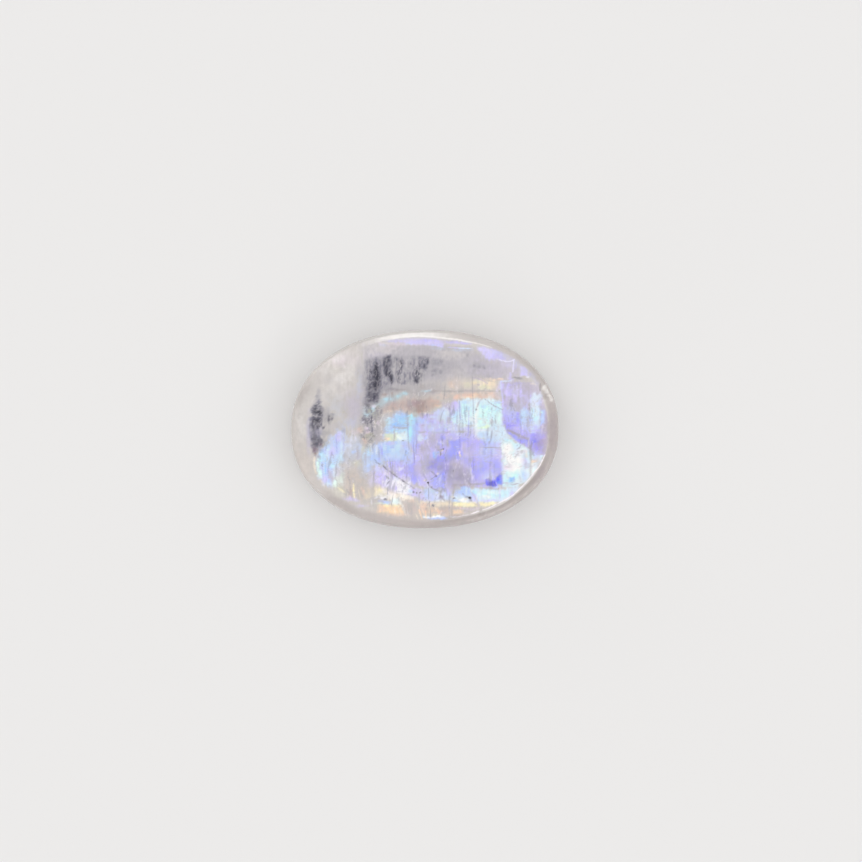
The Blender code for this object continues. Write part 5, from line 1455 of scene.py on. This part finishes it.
def polish_marks():
    """Shader group: faint scratches in two directions, as left by fine grinding or polishing."""
    inputs = [("Place", VECTOR, None), ("Spacing", FLOAT, 0.00003), ("Length", FLOAT, 0.001)]
    group, given, result = new_group("polish_marks", "ShaderNodeTree", inputs, [("Mask", FLOAT)])
    wire = Wiring(group)
    thin = wire.math("DIVIDE", 1.0, given["Spacing"])
    long = wire.math("DIVIDE", 1.0, given["Length"])
    marks = []
    for turn in MARK_DIRECTIONS:
        turned = wire.node("ShaderNodeVectorRotate", {
            "Vector": given["Place"], "Angle": turn}, rotation_type="Z_AXIS")
        drawn = wire.vector("MULTIPLY", turned.outputs[0], wire.join(thin, long, long))
        noise = wire.node("ShaderNodeTexNoise", {"Vector": drawn, "Scale": 1.0, "Detail": 2.0})
        peaks = wire.math("SUBTRACT", noise.outputs["Fac"], 0.62, clamp=True)
        marks.append(wire.math("MULTIPLY", peaks, 5.0))
    wire.feed(result["Mask"], wire.math("MAXIMUM", *marks, clamp=True))
    return group


def place_group(wire, group, inputs):
    """Places a shader group in a tree and returns its first output."""
    made = wire.node("ShaderNodeGroup", node_tree=group)
    for name, value in inputs.items():
        wire.feed(made.inputs[name], value)
    return made.outputs[0]


def new_material(name):
    """An empty node material, its surface shader and a place on the stone to start from."""
    material = bpy.data.materials.new(name)
    material.use_nodes = True
    wire = Wiring(material.node_tree)
    surface = material.node_tree.nodes["Principled BSDF"]
    place = wire.node("ShaderNodeTexCoord").outputs["Object"]
    turned = wire.node("ShaderNodeVectorRotate", {
        "Vector": place, "Angle": CAMERA_TURN}, rotation_type="Z_AXIS")
    return material, wire, surface.inputs, turned.outputs[0]


def finish_surface(wire, surface, scratches, roughness, scratched, bump, softness):
    """Roughness and fine relief from the polish marks, and light that soaks into the stone."""
    wire.feed(surface["Roughness"], wire.math("MULTIPLY_ADD", scratches, scratched, roughness))
    strength, depth = bump
    relief = wire.node("ShaderNodeBump", {
        "Height": scratches, "Strength": strength, "Distance": depth}, invert=True)
    wire.feed(surface["Normal"], relief.outputs[0])
    weight, radius, scale = softness
    surface["IOR"].default_value = FELDSPAR_IOR
    surface["Metallic"].default_value = 0.0
    surface["Subsurface Weight"].default_value = weight
    surface["Subsurface Radius"].default_value = radius
    surface["Subsurface Scale"].default_value = scale


def polished_moonstone(fibres, cloud, marks):
    """The polished face: the laid colours with fibres, cloud and faint polish marks over them."""
    material, wire, surface, place = new_material("polished_moonstone")
    laid = wire.node("ShaderNodeAttribute", attribute_name="stone_colour").outputs["Color"]
    milk = wire.node("ShaderNodeAttribute", attribute_name="milkiness").outputs["Fac"]

    fine = place_group(wire, fibres, {"Place": place, **FACE_FIBRES})
    fine = wire.math("MULTIPLY", fine, wire.math("MULTIPLY_ADD", milk, -0.75, 1.0))
    fluff = place_group(wire, cloud, {"Place": place, **FACE_CLOUD})
    wide = wire.math("MULTIPLY", place_group(wire, cloud, {"Place": place, **WALL_CLOUD}), milk)
    shade = wire.math("ADD", wire.math("ADD", fine, fluff), wire.math("ADD", wide, 1.0))
    wire.feed(surface["Base Color"], wire.stretch(laid, shade))

    scratches = place_group(wire, marks, {"Place": place, **FACE_MARKS})
    polish = wire.math("MULTIPLY_ADD", milk, 0.03, 0.05)
    finish_surface(wire, surface, scratches, polish, 0.05, FACE_RELIEF, FACE_SOFTNESS)
    return material


def ground_back(fibres, cloud, marks):
    """The flat back and its bevel, ground fine but left without a polish."""
    material, wire, surface, place = new_material("ground_back")
    fine = place_group(wire, fibres, {"Place": place, **BACK_FIBRES})
    fluff = place_group(wire, cloud, {"Place": place, **BACK_CLOUD})
    shade = wire.math("ADD", wire.math("ADD", fine, fluff), 0.5, clamp=True)
    tones = wire.node("ShaderNodeValToRGB", {"Fac": shade})
    ends = tones.color_ramp.elements
    ends[0].color = BACK_SHADOW
    ends[1].color = BACK_LIGHT
    wire.feed(surface["Base Color"], tones.outputs["Color"])

    scratches = place_group(wire, marks, {"Place": place, **BACK_MARKS})
    finish_surface(wire, surface, scratches, 0.46, -0.12, BACK_RELIEF, BACK_SOFTNESS)
    return material


def build_stone():
    """The one piece: the body's mesh, painted and dressed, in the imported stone's place."""
    groups = (needle_fibres(), milky_cloud(), polish_marks())
    mesh = stone_mesh(polished_moonstone(*groups), ground_back(*groups))
    paint_stone(mesh)
    mesh.shade_smooth()
    mesh.set_sharp_from_angle(angle=SHARP_ANGLE)
    stone = bpy.data.objects.new("stone", mesh)
    bpy.context.scene.collection.objects.link(stone)
    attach(stone, "root")
    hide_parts("moonstone")
    return stone


def plain_material(name, colour, roughness):
    """A material of one colour and one roughness."""
    material = bpy.data.materials.new(name)
    material.use_nodes = True
    surface = material.node_tree.nodes["Principled BSDF"].inputs
    surface["Base Color"].default_value = colour
    surface["Roughness"].default_value = roughness
    return material


def pale_floor():
    """A wide plain floor, level with the stone's back."""
    half = FLOOR_HALF
    corners = [(-half, -half, 0.0), (half, -half, 0.0), (half, half, 0.0), (-half, half, 0.0)]
    mesh = bpy.data.meshes.new("pale_floor")
    mesh.from_pydata(corners, [], [(0, 1, 2, 3)])
    mesh.materials.append(plain_material("pale_matt_paper", FLOOR_COLOUR, FLOOR_ROUGHNESS))
    floor = bpy.data.objects.new("pale_floor", mesh)
    bpy.context.scene.collection.objects.link(floor)


def soft_panel():
    """Shader group: how brightly a soft-edged studio panel shows in a direction of the sky."""
    inputs = [("Direction", VECTOR, None), ("Turn", FLOAT, 0.0), ("Rise", FLOAT, 0.5),
              ("Half width", FLOAT, 0.5), ("Half height", FLOAT, 0.1)]
    group, given, result = new_group("soft_panel", "ShaderNodeTree", inputs, [("Mask", FLOAT)])
    wire = Wiring(group)
    back = wire.math("MULTIPLY", given["Turn"], -1.0)
    turned = wire.node("ShaderNodeVectorRotate", {
        "Vector": given["Direction"], "Angle": back}, rotation_type="Z_AXIS")
    level = wire.node("ShaderNodeVectorRotate", {
        "Vector": turned.outputs[0], "Angle": given["Rise"]}, rotation_type="Y_AXIS")
    ahead, aside, up = wire.split(level.outputs[0])
    mask = wire.math("GREATER_THAN", ahead, 0.0)
    for off, half in ((aside, given["Half width"]), (up, given["Half height"])):
        share = wire.math("DIVIDE", wire.math("ABSOLUTE", wire.math("DIVIDE", off, ahead)), half)
        side = wire.node("ShaderNodeMapRange", {
            "Value": share, "From Min": 1.0, "From Max": 0.3}, interpolation_type="SMOOTHSTEP")
        mask = wire.math("MULTIPLY", mask, side.outputs["Result"])
    wire.feed(result["Mask"], mask)
    return group


def light_studio():
    """A soft white studio: dim straight above, brighter round the sides, with soft panels in it."""
    world = bpy.data.worlds.new("studio")
    bpy.context.scene.world = world
    world.use_nodes = True
    wire = Wiring(world.node_tree)
    direction = wire.node("ShaderNodeTexCoord").outputs["Generated"]
    height = wire.split(direction)[2]
    strength = wire.math("MULTIPLY", curve_through(wire, height, SKY_LINE), SKY_SCALE)
    panel = soft_panel()
    for turn, rise, width, tall, radiance in PANELS.values():
        mask = place_group(wire, panel, {
            "Direction": direction, "Turn": math.radians(turn), "Rise": math.radians(rise),
            "Half width": width, "Half height": tall})
        strength = wire.math("MULTIPLY_ADD", mask, radiance, strength)
    background = world.node_tree.nodes["Background"].inputs
    background["Color"].default_value = SKY_COLOUR
    wire.feed(background["Strength"], strength)


def add_camera():
    """Straight above the stone, at the distance from which the whole oval fills the picture."""
    camera = bpy.data.cameras.new("camera")
    camera.lens = LENS
    camera.sensor_width = SENSOR
    camera.clip_start = NEAREST_SEEN * MM
    view = bpy.data.objects.new("camera", camera)
    turn = Matrix.Rotation(-CAMERA_TURN, 3, "Z")
    aim = turn @ Vector((*CAMERA_AIM, 0.0))
    view.location = (aim + Vector((0.0, 0.0, GIRDLE_HEIGHT + CAMERA_ABOVE_GIRDLE))) * MM
    view.rotation_euler = turn.to_euler()
    bpy.context.scene.collection.objects.link(view)
    bpy.context.scene.camera = view


build_stone()
pale_floor()
light_studio()
add_camera()
bpy.context.scene.view_settings.view_transform = "Standard"
